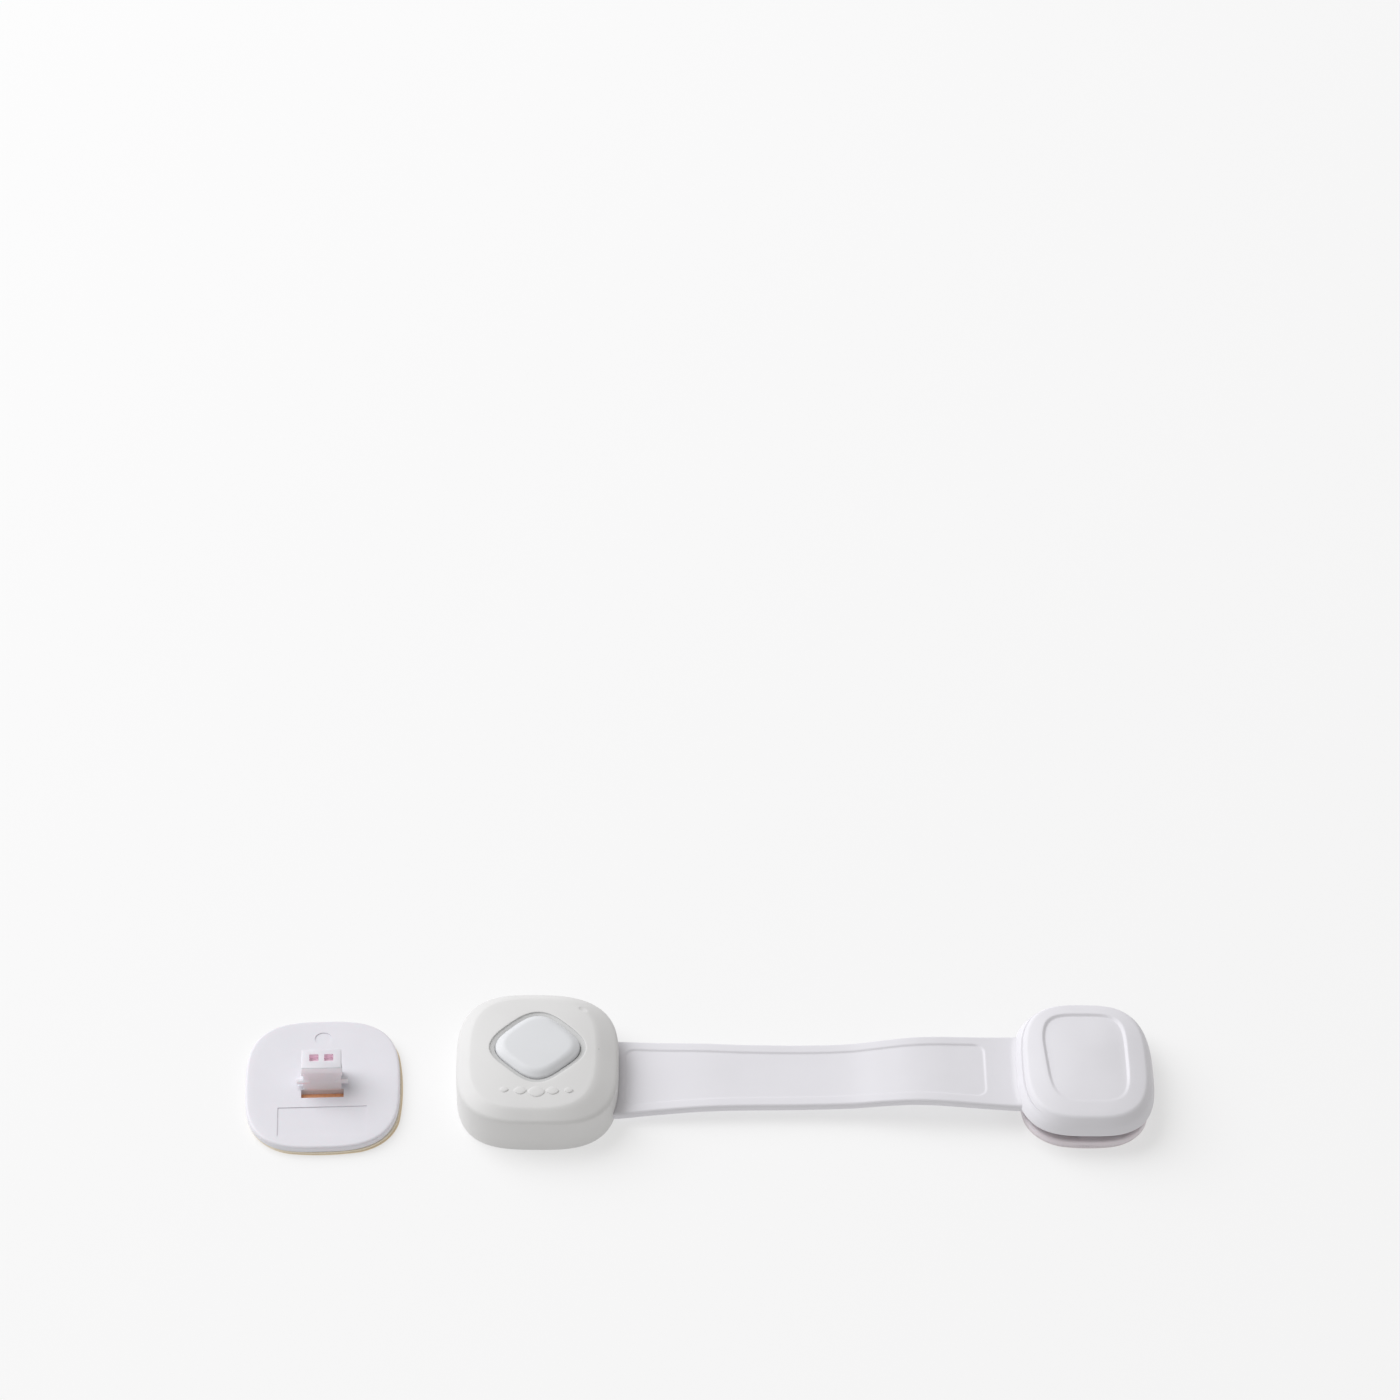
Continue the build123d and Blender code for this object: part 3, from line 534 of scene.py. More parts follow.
def build_motif():
    """A plain raised motif in front of the button: a row of five small lozenges."""
    pads = []
    for k, (half_x, half_y) in enumerate(MOTIF_SIZES):
        x = LOCK_X + (k - 2) * MOTIF_PITCH
        y = LOCK_Y + MOTIF_Y + MOTIF_BEND * abs(k - 2)
        outline_base = squircle((0, 0), 1, 1, 1.6)
        rings = []
        for grow, lift in [(1.0, -0.25), (1.0, 0.10), (0.93, 0.19), (0.8, 0.24), (0.4, 0.28)]:
            ring = []
            for u, v in outline_base[:: AROUND // 56]:
                px, py = x + u * half_x * grow, y + v * half_y * grow
                ring.append(Vector((px, py, housing_crown(px, py) + lift)))
            rings.append(ring)
        bm = bmesh.new()
        skin(bm, rings, start_pole=True, end_pole=True)
        pads.append(make_object(f"motif_{k}", bm, 50))
    return join(pads[0], pads[1:])


def paint_ring(shell):
    """Give the sunk ring round the button a darker grey plastic as painted shade, for the shade in
    its groove.
    """
    shell.data.materials.append(RING_PAINTED_SHADE)
    for face in shell.data.polygons:
        p = face.center / MM
        sunk_a_little = 0.12 < housing_crown(p.x, p.y) - p.z < 1.3
        near_button = abs(p.x - LOCK_X) + abs(p.y - BUTTON.y) < RING_REACH
        if sunk_a_little and near_button and p.z > WELL_TOP + 0.8:
            face.material_index = 1


housing_cover = build_housing()
press_dimple(housing_cover)
finish_piece(housing_cover, "housing", HOUSING_WHITE, ["housing_shell"])
paint_ring(housing_cover)
motif = build_motif()
motif.name = "housing_motif"
finish_piece(motif, "housing", HOUSING_WHITE)


# ---- decoy button and release button -----------------------------------------------------

BUTTON_TIP, FLANGE_TIP, FLANGE_T = 13.45, 15.0, 0.85
HOLLOW_R, HOLLOW_TOP = 10.6, 15.5
RIB_PITCH, RIB_SIZE = 3.2, (0.9, 0.8, 2.8)
RELEASE_FACE_IN = 0.45  # how far the release button's face lies behind its ribs


def build_button():
    """The diamond button: flange, skirt, broad soft bevel and a barely domed top."""
    centre = (LOCK_X, BUTTON.y)
    low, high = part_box("decoy_button")
    foot, top = low[2] / MM, high[2] / MM
    flange_top = foot + FLANGE_T
    rings = [at_height(circle(centre, HOLLOW_R), z) for z in (HOLLOW_TOP, foot)]
    rings += [at_height(diamond(centre, FLANGE_TIP), z) for z in (foot, flange_top)]
    outside = rounded(
        [
            (0.0, flange_top, 0),
            (0.0, 15.95, 0.5),
            (2.35, top - 0.12, 1.2),
            (7.0, top - 0.04, 0),
            (10.0, top, 0),
        ],
        8,
    )
    for inset, z in outside:
        rings.append(at_height(diamond(centre, BUTTON_TIP - inset), z))
    bm = bmesh.new()
    skin(bm, rings, start_pole=True, end_pole=True)
    return make_object("button_cover", bm)


def build_release():
    """The hidden release button: softened edges and three grip ribs on its outer face."""
    low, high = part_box("release_button")
    low, high = Vector(low) / MM, Vector(high) / MM
    centre = (low + high) / 2
    face_y = high.y - RELEASE_FACE_IN
    body = block(
        "release_cover",
        (centre.x, (low.y + face_y) / 2, centre.z),
        (high.x - low.x, face_y - low.y, high.z - low.z),
        0.4,
    )
    ribs = []
    for k in (-1, 0, 1):
        ribs.append(block("rib", (centre.x + RIB_PITCH * k, face_y, centre.z), RIB_SIZE, 0.3))
    return join(body, ribs)


button_cover = build_button()
finish_piece(button_cover, "button", BUTTON_WHITE, ["decoy_button"])
release_cover = build_release()
finish_piece(release_cover, "slider", HOUSING_WHITE, ["release_button"])


# ---- loose catch -------------------------------------------------------------------------

PLATE_LOW, PLATE_TOP = 1.0, 3.2
ENGRAVED = 0.25  # depth of the recess and of the ejector's mark
RECESS_W, RECESS_D, RECESS_Y = 28.2, 12.0, -16.0
MARK_R, MARK_Y = 2.7, 19.4
HOLE_W, HOLE_D, HOLE_Y = 13.5, 3.5, -4.35
TOWER_H, TOWER_HALF_W = 10.5, 6.1
TOWER_SIDE = [  # the tower seen from its side, as (Y, drop below its top)
    (5.0, 0.0),
    (-3.1, 0.0),
    (-3.1, 1.6),
    (-2.2, 1.9),
    (-1.5, 2.6),
    (-1.1, 3.6),
    (-0.95, 4.8),
    (-1.05, 6.2),
    (-1.35, 7.6),
    (-1.85, 8.9),
    (-2.6, 10.2),
]
TOWER_FOOT = 0.6  # how far the tower reaches down into the plate
HEAD_W, HEAD_D, HEAD_T, HEAD_Y = 12.6, 8.06, 2.46, 0.95
LUG_X, LUG_Y, LUG_DOWN, LUG_SIZE = 6.15, -1.2, 2.9, (0.7, 2.4, 3.2)
PIN_Y, PIN_Z = -0.8, 2.1
PIN_PROFILE = [(4.0, 1.0), (8.0, 1.0), (8.12, 0.95), (8.2, 0.8), (8.2, 0.3)]  # (X, radius)
WINDOW_X, WINDOW_Y, WINDOW_W, WINDOW_DEPTH = 2.35, 1.4, 2.9, 2.0


def build_catch():
    """The catch plate with its hole and recess, and the tower with its undercut head."""
    half_x, half_y = CATCH_HALF.x, CATCH_HALF.y
    profile = rounded(
        [
            (2.0, PLATE_LOW, 0),
            (0.0, PLATE_LOW, 0.25),
            (0.0, PLATE_TOP, 0.95),
            (3.0, PLATE_TOP, 0),
        ]
    )
    centre = (CATCH_X, CATCH_Y)
    rings = [at_height(squircle(centre, half_x - i, half_y - i), z) for i, z in profile]
    bm = bmesh.new()
    skin(bm, rings, start_pole=True, end_pole=True)
    plate = make_object("catch_cover", bm)
    recess_z = PLATE_TOP - ENGRAVED + 1.0
    recess = block("recess", (CATCH_X, CATCH_Y + RECESS_Y, recess_z), (RECESS_W, RECESS_D, 2.0))
    combine(plate, recess, "DIFFERENCE")
    mark = bmesh.new()
    rim = circle((CATCH_X, CATCH_Y + MARK_Y), MARK_R)
    mark_rings = [at_height(rim, PLATE_TOP + z) for z in (-ENGRAVED, 1.0)]
    skin(mark, mark_rings, start_pole=True, end_pole=True)
    combine(plate, make_object("mark", mark), "DIFFERENCE")
    hole = block("hole", (CATCH_X, CATCH_Y + HOLE_Y, 2.0), (HOLE_W, HOLE_D, 6.0))
    combine(plate, hole, "DIFFERENCE")

    top, foot = PLATE_TOP + TOWER_H, PLATE_TOP - TOWER_FOOT
    side = [(CATCH_Y + y, top - drop) for y, drop in TOWER_SIDE]
    side = [(side[0][0], foot)] + side + [(side[-1][0], foot)]
    ends = (CATCH_X - TOWER_HALF_W, CATCH_X + TOWER_HALF_W)
    tower = prism("tower", [[Vector((x, y, z)) for y, z in side] for x in ends], 0.22)
    head_middle = (CATCH_X, CATCH_Y + HEAD_Y, top - HEAD_T / 2 - 0.02)
    combine(tower, block("head", head_middle, (HEAD_W, HEAD_D, HEAD_T), 0.28), "UNION")
    for hand in (-1, 1):
        lug_middle = (CATCH_X + hand * LUG_X, CATCH_Y + LUG_Y, top - LUG_DOWN)
        combine(tower, block("lug", lug_middle, LUG_SIZE, 0.2), "UNION")
        pin = bmesh.new()
        rings = []
        for along, radius in PIN_PROFILE:
            ring = circle((CATCH_Y + PIN_Y, PLATE_TOP + PIN_Z), radius)[::8]
            rings.append([Vector((CATCH_X + hand * along, y, z)) for y, z in ring])
        skin(pin, rings, start_pole=True, end_pole=True)
        combine(tower, make_object("pin", pin), "UNION")
    for hand in (-1, 1):
        window_middle = (CATCH_X + hand * WINDOW_X, CATCH_Y + WINDOW_Y, top - WINDOW_DEPTH + 3)
        window = block("window", window_middle, (WINDOW_W, WINDOW_W, 6.0), 0.15)
        combine(tower, window, "DIFFERENCE")
    combine(plate, tower, "UNION")
    return plate


def paint_catch(catch):
    """Painted reflected light as a light rose tint inside the head's windows, and painted bounce
    light as a lighter, pinker plastic on the tower's shaded front.
    """
    catch.data.materials.append(WINDOW_PAINTED_REFLECTION)
    catch.data.materials.append(CATCH_FRONT_PAINTED_BOUNCE)
    for face in catch.data.polygons:
        p = face.center / MM - Vector((CATCH_X, CATCH_Y, PLATE_TOP))
        # Mask for the painted reflected light inside the head's windows.
        painted_reflection_window = abs(p.x) < 3.85 and -0.1 < p.y < 3.0 and TOWER_H - 3 < p.z < TOWER_H - 0.4
        # Mask for the painted bounce light on the tower's shaded front.
        painted_bounce_front = -3.2 < p.y < 0 and -0.5 < p.z < TOWER_H - 0.3 and face.normal.y < -0.4
        if painted_reflection_window:
            face.material_index = 1
        elif painted_bounce_front:
            face.material_index = 2


catch_cover = build_catch()
finish_piece(catch_cover, "catch", CATCH_WHITE, ["catch_plate"])
paint_catch(catch_cover)
to_centre = Matrix.Translation(Vector((CATCH_X, CATCH_Y, 0)) * MM)
catch_cover.data.transform(to_centre @ Matrix.Rotation(CATCH_TURN, 4, "Z") @ to_centre.inverted())


# ---- strap and cap -----------------------------------------------------------------------

STRAP_T, STRAP_START, STRAP_END = 2.5, -27.6, 102.9
UNDERSIDE = [  # (X, height)
    (-27.6, 1.42), (-25.8, 1.45), (-12.9, 2.2), (1.0, 3.0), (16.0, 3.1), (33.0, 3.3), (48.0, 4.1),
    (59.0, 5.7), (67.0, 6.7), (75.0, 6.9), (83.0, 6.5), (92.0, 6.0), (101.5, 5.7),
]
HALF_WIDTHS = [  # (X, half width)
    (-27.6, 15.9), (-25.8, 15.9), (-12.9, 14.8), (1.0, 14.0), (16.0, 13.4), (48.0, 13.2),
    (75.0, 14.1), (92.0, 14.8), (101.5, 15.2),
]
PANEL_START, PANEL_END = -24.4, 91.4
PANEL_IN, PANEL_CORNER, PANEL_DEPTH, PANEL_STEP = 3.2, 3.8, 0.42, 0.95
PANEL_LEAN = 0.25  # how much shallower the panel is towards the front
SEAMS = (11.5, 64.5)  # where one stretch of the strap meets the next
FINE_STEP, CAP_STEP, PLAIN_STEP = 0.22, 0.4, 0.9  # spacing of the strap's sections
CAP_STEP_FROM = 96.5


def smooth_curve(points):
    """A smooth function through points, with slopes taken from their neighbours."""
    xs, ys = [p[0] for p in points], [p[1] for p in points]
    slopes = []
    for i in range(len(xs)):
        a, b = max(i - 1, 0), min(i + 1, len(xs) - 1)
        slopes.append((ys[b] - ys[a]) / (xs[b] - xs[a]))

    def value(x):
        i = max(0, min(len(xs) - 2, sum(1 for known in xs if known <= x) - 1))
        h = xs[i + 1] - xs[i]
        t = (x - xs[i]) / h
        return (
            ys[i] * (2 * t**3 - 3 * t**2 + 1)
            + slopes[i] * h * (t**3 - 2 * t**2 + t)
            + ys[i + 1] * (-2 * t**3 + 3 * t**2)
            + slopes[i + 1] * h * (t**3 - t**2)
        )

    return value


underside = smooth_curve(UNDERSIDE)
half_width = smooth_curve(HALF_WIDTHS)

CAP_HALF_X, CAP_HALF_Y = 22.2, 27.0
CAP_RIM, CAP_CREASE_IN, CAP_CREASE_Z, CAP_RISE = 7.0, 2.7, 13.05, 2.4
CAP_SHOULDER_IN = CAP_CREASE_IN + 2.4
CAP_WALL, CAP_ROOF = 2.2, 11.6  # the hollow under the cap
CAP_PANEL_X, CAP_PANEL_Y, CAP_PANEL_STEP, CAP_PANEL_DEPTH = 13.7, 19.4, 1.3, 0.75
CAP_PANEL_SHIFT, CAP_PANEL_POWER = (0.3, 0.6), 4.2
CAP_PANEL_TAPER, CAP_PANEL_TAPER_FROM = 0.07, 8.0
CAP_PANEL_SHALLOWEST = 0.12  # share of its depth that the panel keeps at the front
CAP_SLOPE_FOOT, CAP_SLOPE_TOP, CAP_SLOPE_EXTRA = 8.2, 10.6, 1.0  # the slope on the strap's side


def panel_depth(x, inside):
    """How far the top is sunk at x, at a distance inside the strap's long edge."""
    along = min(x - PANEL_START, PANEL_END - x)
    across = inside - PANEL_IN
    if along < PANEL_CORNER and across < PANEL_CORNER:
        reach = PANEL_CORNER - math.hypot(PANEL_CORNER - along, PANEL_CORNER - across)
    else:
        reach = min(along, across)
    return PANEL_DEPTH * smoothstep(reach / PANEL_STEP)


def cap_wall_x(y):
    """Where the cap's wall on the strap's side stands, at a place across it."""
    v = min(0.999, abs(y - CAP_Y) / CAP_HALF_Y)
    return CAP_X - CAP_HALF_X * (1 - v**SQUARISH) ** (1 / SQUARISH)


def edge_drop(distance, radius):
    """Drop of a rounded edge at a distance in from it."""
    if distance >= radius:
        return 0.0
    return radius - math.sqrt(max(0.0, radius**2 - (radius - distance) ** 2))


TOP_EDGE_R, LOW_EDGE_R = 0.9, 0.5
ROOT_OVER, ROOT_REACH, ROOT_RISE = 0.6, 1.8, 0.4  # how the strap sweeps up into the cap
TOP_STEPS = [0.0, 0.04, 0.12, 0.25, 0.45, 0.7, 0.95, 1.6, 2.3, 2.8]
TOP_STEPS += [PANEL_IN + 0.1 * k for k in range(1, 9)]
TOP_STEPS += [PANEL_IN + 0.8 + 0.3 * k for k in range(1, 11)]
TOP_STEPS += [8.0, 10.0]
LOW_STEPS = [0.0, 0.04, 0.12, 0.28, 0.5, 2.5, 6.0, 10.0]


def strap_section(x):
    """One loop of points round the strap at x: over the top from front to back, then under."""
    w, low = half_width(x), underside(x)
    loop = []
    front = [(-w + e, e) for e in TOP_STEPS]
    across = front + [(0.0, w)] + [(-y, e) for y, e in reversed(front)]
    for y, e in across:
        sinking = panel_depth(x, e) * (1 - PANEL_LEAN * (1 - y / w))
        z = low + STRAP_T - edge_drop(e, TOP_EDGE_R) - sinking
        near = cap_wall_x(LOCK_Y + y) + ROOT_OVER - x
        if near < ROOT_REACH and e >= 0.04:
            z += ROOT_RISE * (1 - max(near, 0.0) / ROOT_REACH) ** 2 * smoothstep(e / 2.0)
        loop.append(Vector((x, LOCK_Y + y, z)))
    front = [(-w + e, e) for e in LOW_STEPS]
    across = front + [(0.0, w)] + [(-y, e) for y, e in reversed(front)]
    for y, e in reversed(across):
        loop.append(Vector((x, LOCK_Y + y, low + edge_drop(e, LOW_EDGE_R))))
    return loop


def stations():
    """Places along the strap: closest where the panel ends, and close near the cap."""
    xs = [STRAP_START]
    while xs[-1] < STRAP_END:
        x = xs[-1]
        if PANEL_START - 0.5 < x < PANEL_START + 4 or PANEL_END - 4 < x < PANEL_END + 0.5:
            step = FINE_STEP
        elif x > CAP_STEP_FROM:
            step = CAP_STEP
        else:
            step = PLAIN_STEP
        xs.append(x + step)
    for seam in SEAMS:
        nearest = min(range(len(xs)), key=lambda i: abs(xs[i] - seam))
        xs[nearest] = seam
    return xs


def strap_piece(name, xs, normals_at):
    """One closed stretch of strap, with the whole strap's normals so that no seam shows."""
    bm = bmesh.new()
    skin(bm, [strap_section(x) for x in xs])
    bmesh.ops.holes_fill(bm, edges=[e for e in bm.edges if e.is_boundary], sides=0)
    bmesh.ops.recalc_face_normals(bm, faces=bm.faces)
    piece = make_object(name, bm, 50)
    mesh = piece.data
    loops = [Vector() for _ in mesh.loops]
    for face in mesh.polygons:
        is_end = len(face.vertices) > 4
        for index in face.loop_indices:
            co = mesh.vertices[mesh.loops[index].vertex_index].co
            loops[index] = face.normal if is_end else normals_at(co)
    mesh.normals_split_custom_set(loops)
    return piece


def strap_normals(xs):
    """Normals of the whole strap, looked up by place."""
    bm = bmesh.new()
    skin(bm, [strap_section(x) for x in xs])
    bm.normal_update()
    known = {tuple(round(c * 1e7) for c in v.co): v.normal.copy() for v in bm.verts}
    bm.free()
    return lambda co: known[tuple(round(c * 1e7) for c in co)]


def cap_outline(inset, z):
    """The cap's outline at a height: the strap's side slopes in from lower down."""
    climb = (z - CAP_SLOPE_FOOT) / (CAP_SLOPE_TOP - CAP_SLOPE_FOOT)
    extra = CAP_SLOPE_EXTRA * max(0.0, min(1.0, climb))
    centre = (CAP_X + extra / 2, CAP_Y)
    return squircle(centre, CAP_HALF_X - inset - extra / 2, CAP_HALF_Y - inset)


def cap_crown(x, y):
    """Height of the cap's domed top."""
    half_x = CAP_HALF_X - CAP_CREASE_IN - CAP_SLOPE_EXTRA / 2
    u = abs(x - CAP_X - CAP_SLOPE_EXTRA / 2) / half_x
    v = abs(y - CAP_Y) / (CAP_HALF_Y - CAP_CREASE_IN)
    rho = (u**SQUARISH + v**SQUARISH) ** (1 / SQUARISH)
    return CAP_CREASE_Z + CAP_RISE * (1 - min(rho, 1.2) ** 2)


def cap_panel(half_x, half_y):
    """Outline of the cap's sunk panel, a little narrower at its front left."""
    centre = (CAP_X + CAP_PANEL_SHIFT[0], CAP_Y + CAP_PANEL_SHIFT[1])
    outline = []
    for x, y in squircle(centre, half_x, half_y, CAP_PANEL_POWER):
        taper = CAP_PANEL_TAPER * max(0.0, CAP_Y + CAP_PANEL_TAPER_FROM - y)
        outline.append((x + taper * smoothstep((CAP_X - x) / 9), y))
    return outline


def sunk(y):
    """Depth of the cap's panel, which runs out towards the front."""
    share = smoothstep((y - CAP_Y + 20) / 16)
    return CAP_PANEL_DEPTH * (CAP_PANEL_SHALLOWEST + (1 - CAP_PANEL_SHALLOWEST) * share)


def build_cap():
    """The cap: hollow below, soft shoulder, domed top and a recessed panel."""
    outside = rounded(
        [
            (0.1, CAP_RIM, 0),
            (0.0, CAP_RIM + 0.3, 0.3),
            (1.0, CAP_SLOPE_TOP, 1.4),
            (CAP_CREASE_IN, CAP_CREASE_Z, 0.8),
            (CAP_SHOULDER_IN, CAP_CREASE_Z + 0.55, 0),
        ],
        8,
    )
    rings = [at_height(cap_outline(CAP_WALL, CAP_RIM), z) for z in (CAP_ROOF, CAP_RIM)]
    rings += [at_height(cap_outline(inset, z), z) for inset, z in outside[:-1]]
    shoulder = cap_outline(CAP_SHOULDER_IN, CAP_CREASE_Z)
    rings.append(at_height(shoulder, cap_crown))
    panel = cap_panel(CAP_PANEL_X + 0.1, CAP_PANEL_Y + 0.1)
    for t in (0.35, 0.7):
        rings.append(at_height(between(shoulder, panel, t), cap_crown))
    steps = 10
    for k in range(steps + 1):
        t = k / steps
        line = cap_panel(CAP_PANEL_X - CAP_PANEL_STEP * t, CAP_PANEL_Y - CAP_PANEL_STEP * t)
        rings.append(at_height(line, lambda x, y, t=t: cap_crown(x, y) - smoothstep(t) * sunk(y)))
    for scale in (0.85, 0.6, 0.35, 0.12):
        line = cap_panel(
            (CAP_PANEL_X - CAP_PANEL_STEP) * scale, (CAP_PANEL_Y - CAP_PANEL_STEP) * scale
        )
        rings.append(at_height(line, lambda x, y: cap_crown(x, y) - sunk(y)))
    bm = bmesh.new()
    skin(bm, rings, start_pole=True, end_pole=True)
    return make_object("cap", bm, 45)


def append_mesh(target, other):
    """Add another object's faces to a piece, keeping both sets of normals."""
    bpy.ops.object.select_all(action="DESELECT")
    other.select_set(True)
    target.select_set(True)
    bpy.context.view_layer.objects.active = target
    bpy.ops.object.join()


xs = stations()
strap_normal = strap_normals(xs)
cuts = [xs[0], *SEAMS, xs[-1]]
strap_pieces = []
for number, (low, high) in enumerate(zip(cuts, cuts[1:])):
    part = [x for x in xs if low <= x <= high]
    strap_pieces.append(strap_piece(f"strap_{number + 1}", part, strap_normal))
near_piece, middle_piece, far_piece = strap_pieces
for piece in strap_pieces:
    piece.data.materials.append(STRAP_WHITE)
cap = build_cap()
cap.data.materials.append(STRAP_WHITE)
append_mesh(far_piece, cap)
far_piece.name = "strap_end_and_cap"


def blend_over(piece, replaced):
    """Hide the CAD strap parts that a stretch stands in for, and bake the stretch's placing into its
    mesh.
    """
    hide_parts(*replaced)
    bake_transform(piece)


blend_over(near_piece, ["strap_root"])
blend_over(middle_piece, ["strap_inner", "strap_outer"])
blend_over(far_piece, ["end_cap"])


# ---- anchor ------------------------------------------------------------------------------

ANCHOR_LOW, ANCHOR_TOP, TRAY_DEPTH = 1.0, 3.0, 0.4
PIVOT_Z, PIVOT_R = 9.0, 1.2
EAR_Y, EAR_T, EAR_HALF = 20.6, 2.2, 2.2


def build_anchor():
    """The anchor plate: soft rim, shallow inner tray and the two pivot ears."""
    centre = (ANCHOR.x, ANCHOR.y)
    profile = rounded(
        [
            (3.0, ANCHOR_LOW, 0),
            (0.0, ANCHOR_LOW, 0.3),
            (0.0, ANCHOR_TOP, 0.9),
            (2.2, ANCHOR_TOP, 0.3),
            (2.7, ANCHOR_TOP - TRAY_DEPTH, 0.3),
            (6.0, ANCHOR_TOP - TRAY_DEPTH, 0),
        ]
    )
    rings = [
        at_height(squircle(centre, ANCHOR_HALF.x - i, ANCHOR_HALF.y - i), z) for i, z in profile
    ]
    bm = bmesh.new()
    skin(bm, rings, start_pole=True, end_pole=True)
    plate = make_object("anchor_cover", bm)
    foot, knee = ANCHOR_TOP - 0.8, ANCHOR_TOP + 1.2
    outline = [(-EAR_HALF - 0.6, foot), (EAR_HALF + 0.6, foot), (EAR_HALF, knee)]
    for k in range(13):
        angle = math.pi * k / 12
        outline.append((EAR_HALF * math.cos(angle), PIVOT_Z + EAR_HALF * math.sin(angle)))
    outline.append((-EAR_HALF, knee))
    for hand in (-1, 1):
        faces_y = [LOCK_Y + hand * EAR_Y + along for along in (-EAR_T / 2, EAR_T / 2)]
        rings = [[Vector((CAP_X + x, y, z)) for x, z in outline] for y in faces_y]
        combine(plate, prism("ear", rings), "UNION")
    bore = bmesh.new()
    bmesh.ops.create_cone(
        bore, cap_ends=True, segments=48, radius1=PIVOT_R * MM, radius2=PIVOT_R * MM, depth=60 * MM
    )
    bmesh.ops.rotate(bore, matrix=Matrix.Rotation(math.pi / 2, 3, "X"), verts=bore.verts)
    bmesh.ops.translate(bore, vec=Vector((CAP_X, LOCK_Y, PIVOT_Z)) * MM, verts=bore.verts)
    combine(plate, make_object("bore", bore), "DIFFERENCE")
    return plate


anchor_cover = build_anchor()
finish_piece(anchor_cover, "anchor", ANCHOR_WHITE, ["anchor_plate"])


# ---- springs -----------------------------------------------------------------------------

WIRE_SIDES, TURN_STEPS = 12, 40
BUTTON_WIRE_R, LATCH_WIRE_R = 0.35, 0.2
SPRINGS = [  # name, CAD node, axis, turns, wire radius, moving body
    ("button_coil", "button_spring", "z", 3, BUTTON_WIRE_R, "button"),
    ("latch_coil_left", "latch_spring_left", "y", 7, LATCH_WIRE_R, "slider"),
    ("latch_coil_right", "latch_spring_right", "y", 7, LATCH_WIRE_R, "slider"),
]


def build_spring(name, node, axis, turns, wire_r, moving_body):
    """An open coil that fills its CAD node's box."""
    centre, dims = middle(node), size(node)
    along = "xyz".index(axis)
    side_a, side_b = [k for k in range(3) if k != along]
    radius = dims[side_a] / 2 - wire_r
    travel = dims[along] - 2 * wire_r
    rings = []
    for k in range(turns * TURN_STEPS + 1):
        turn = k / TURN_STEPS
        angle = 2 * math.pi * turn
        ring = []
        for j in range(WIRE_SIDES):
            around_wire = 2 * math.pi * j / WIRE_SIDES
            reach = radius + wire_r * math.cos(around_wire)
            point = Vector(centre)
            point[side_a] += reach * math.cos(angle)
            point[side_b] += reach * math.sin(angle)
            point[along] += travel * (turn / turns - 0.5) + wire_r * math.sin(around_wire)
            ring.append(point)
        rings.append(ring)
    bm = bmesh.new()
    skin(bm, rings, start_pole=True, end_pole=True)
    spring = make_object(name, bm, 60)
    spring.data.materials.append(STEEL)
    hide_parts(node)
    low, high = Vector(centre), Vector(centre)
    low[along] -= travel / 2
    high[along] += travel / 2
    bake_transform(spring)


for spring in SPRINGS:
    build_spring(*spring)


# ---- materials of the CAD parts that stay ------------------------------------------------

KEPT = {
    INNER_PLASTIC: ["button_keeper", "latch_slider", "strap_clamp", "cap_insert"],
    STEEL: [
        "housing_screws", "keeper_screws", "strap_clamp_screws", "cap_insert_screws",
        "pivot_pin",
    ],
    FOAM: ["catch_adhesive_foam"],
    LINER: ["catch_release_liner"],
    PALE_FOAM: ["anchor_adhesive_foam"],
    PALE_LINER: ["anchor_release_liner"],
    HOUSING_WHITE: ["housing_base"],
}
for material, nodes in KEPT.items():
    for node in nodes:
        thing = bpy.data.objects[node]
        for slot in thing.material_slots:
            slot.link = "OBJECT"
            slot.material = material


# ---- floor, light and camera -------------------------------------------------------------

FLOOR_GLOW, WORLD_STRENGTH = 0.53, 0.45
LAMP_PLACE, LAMP_WIDTH, LAMP_POWER = (-2.35, 1.55, 2.6), 3.7, 149.0  # metres and watts
LAMP_TINT = (0.975, 0.98, 1.0)
CAMERA_PLACE, CAMERA_LENS, CAMERA_SENSOR = (-0.0180, -1.0181, 1.1114), 120.9, 36.0
CAMERA_TURN, CAMERA_TIP, CAMERA_ROLL = -0.89, 47.23, 1.09  # degrees


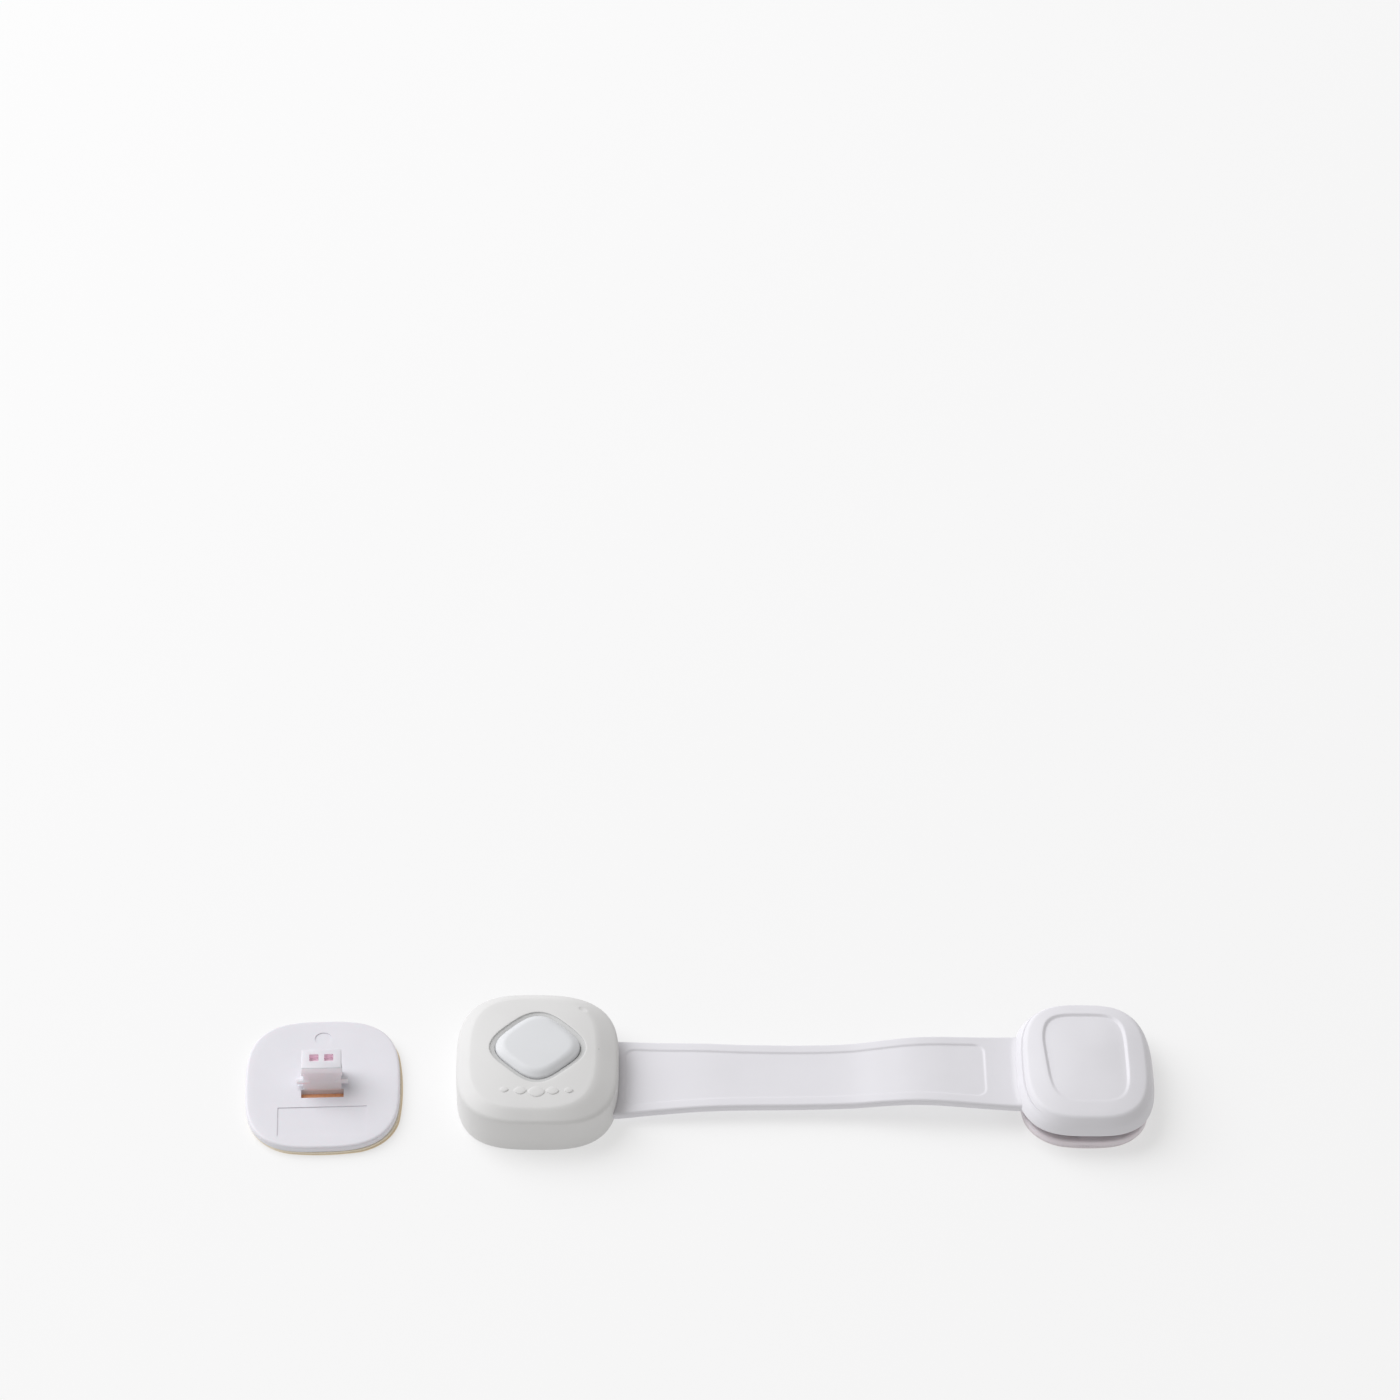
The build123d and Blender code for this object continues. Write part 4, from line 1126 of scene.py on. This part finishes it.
def build_floor():
    """A plain pale floor, part lit from within so that shadows stay faint."""
    bm = bmesh.new()
    bmesh.ops.create_grid(bm, x_segments=4, y_segments=4, size=6.0)
    floor = make_object("floor", bm)
    floor.location.z = -0.0001
    material, tree, shader, place = node_material("floor_paint")
    tone = ramp(tree, noise(tree, place, 3, 2), (0.40, 0.40, 0.40), (0.41, 0.41, 0.41))
    tree.links.new(tone, shader.inputs["Base Color"])
    shader.inputs["Roughness"].default_value = 0.9
    shader.inputs["Specular IOR Level"].default_value = 0.1
    shader.inputs["Emission Color"].default_value = (1.0, 1.0, 1.0, 1)
    shader.inputs["Emission Strength"].default_value = FLOOR_GLOW
    floor.data.materials.append(material)


def area_light(name, place, aim, width, power, tint):
    """A square softbox at a place, turned towards its aim."""
    lamp = bpy.data.lights.new(name, "AREA")
    lamp.shape = "SQUARE"
    lamp.size = width
    lamp.energy = power
    lamp.color = tint
    holder = bpy.data.objects.new(name, lamp)
    holder.location = place
    direction = Vector(aim) - Vector(place)
    holder.rotation_euler = direction.to_track_quat("-Z", "Y").to_euler()
    bpy.context.scene.collection.objects.link(holder)


def build_world(strength):
    """Even, slightly warm light from all round."""
    world = bpy.data.worlds.new("studio")
    world.use_nodes = True
    background = world.node_tree.nodes["Background"]
    background.inputs["Color"].default_value = (1.0, 0.985, 0.965, 1)
    background.inputs["Strength"].default_value = strength
    bpy.context.scene.world = world


def build_camera():
    """The camera at the photograph's viewing angle."""
    data = bpy.data.cameras.new("camera")
    data.lens = CAMERA_LENS
    data.sensor_width = CAMERA_SENSOR
    data.clip_end = 20.0
    camera = bpy.data.objects.new("camera", data)
    camera.location = CAMERA_PLACE
    turn = Matrix.Rotation(math.radians(CAMERA_TURN), 3, "Z")
    tip = Matrix.Rotation(math.radians(CAMERA_TIP), 3, "X")
    roll = Matrix.Rotation(math.radians(CAMERA_ROLL), 3, "Z")
    camera.rotation_euler = (turn @ tip @ roll).to_euler()
    bpy.context.scene.collection.objects.link(camera)
    bpy.context.scene.camera = camera


build_floor()
build_world(WORLD_STRENGTH)
area_light("softbox", LAMP_PLACE, (0.0, 0.0, 0.0), LAMP_WIDTH, LAMP_POWER, LAMP_TINT)
bpy.context.scene.view_settings.view_transform = "Standard"
build_camera()
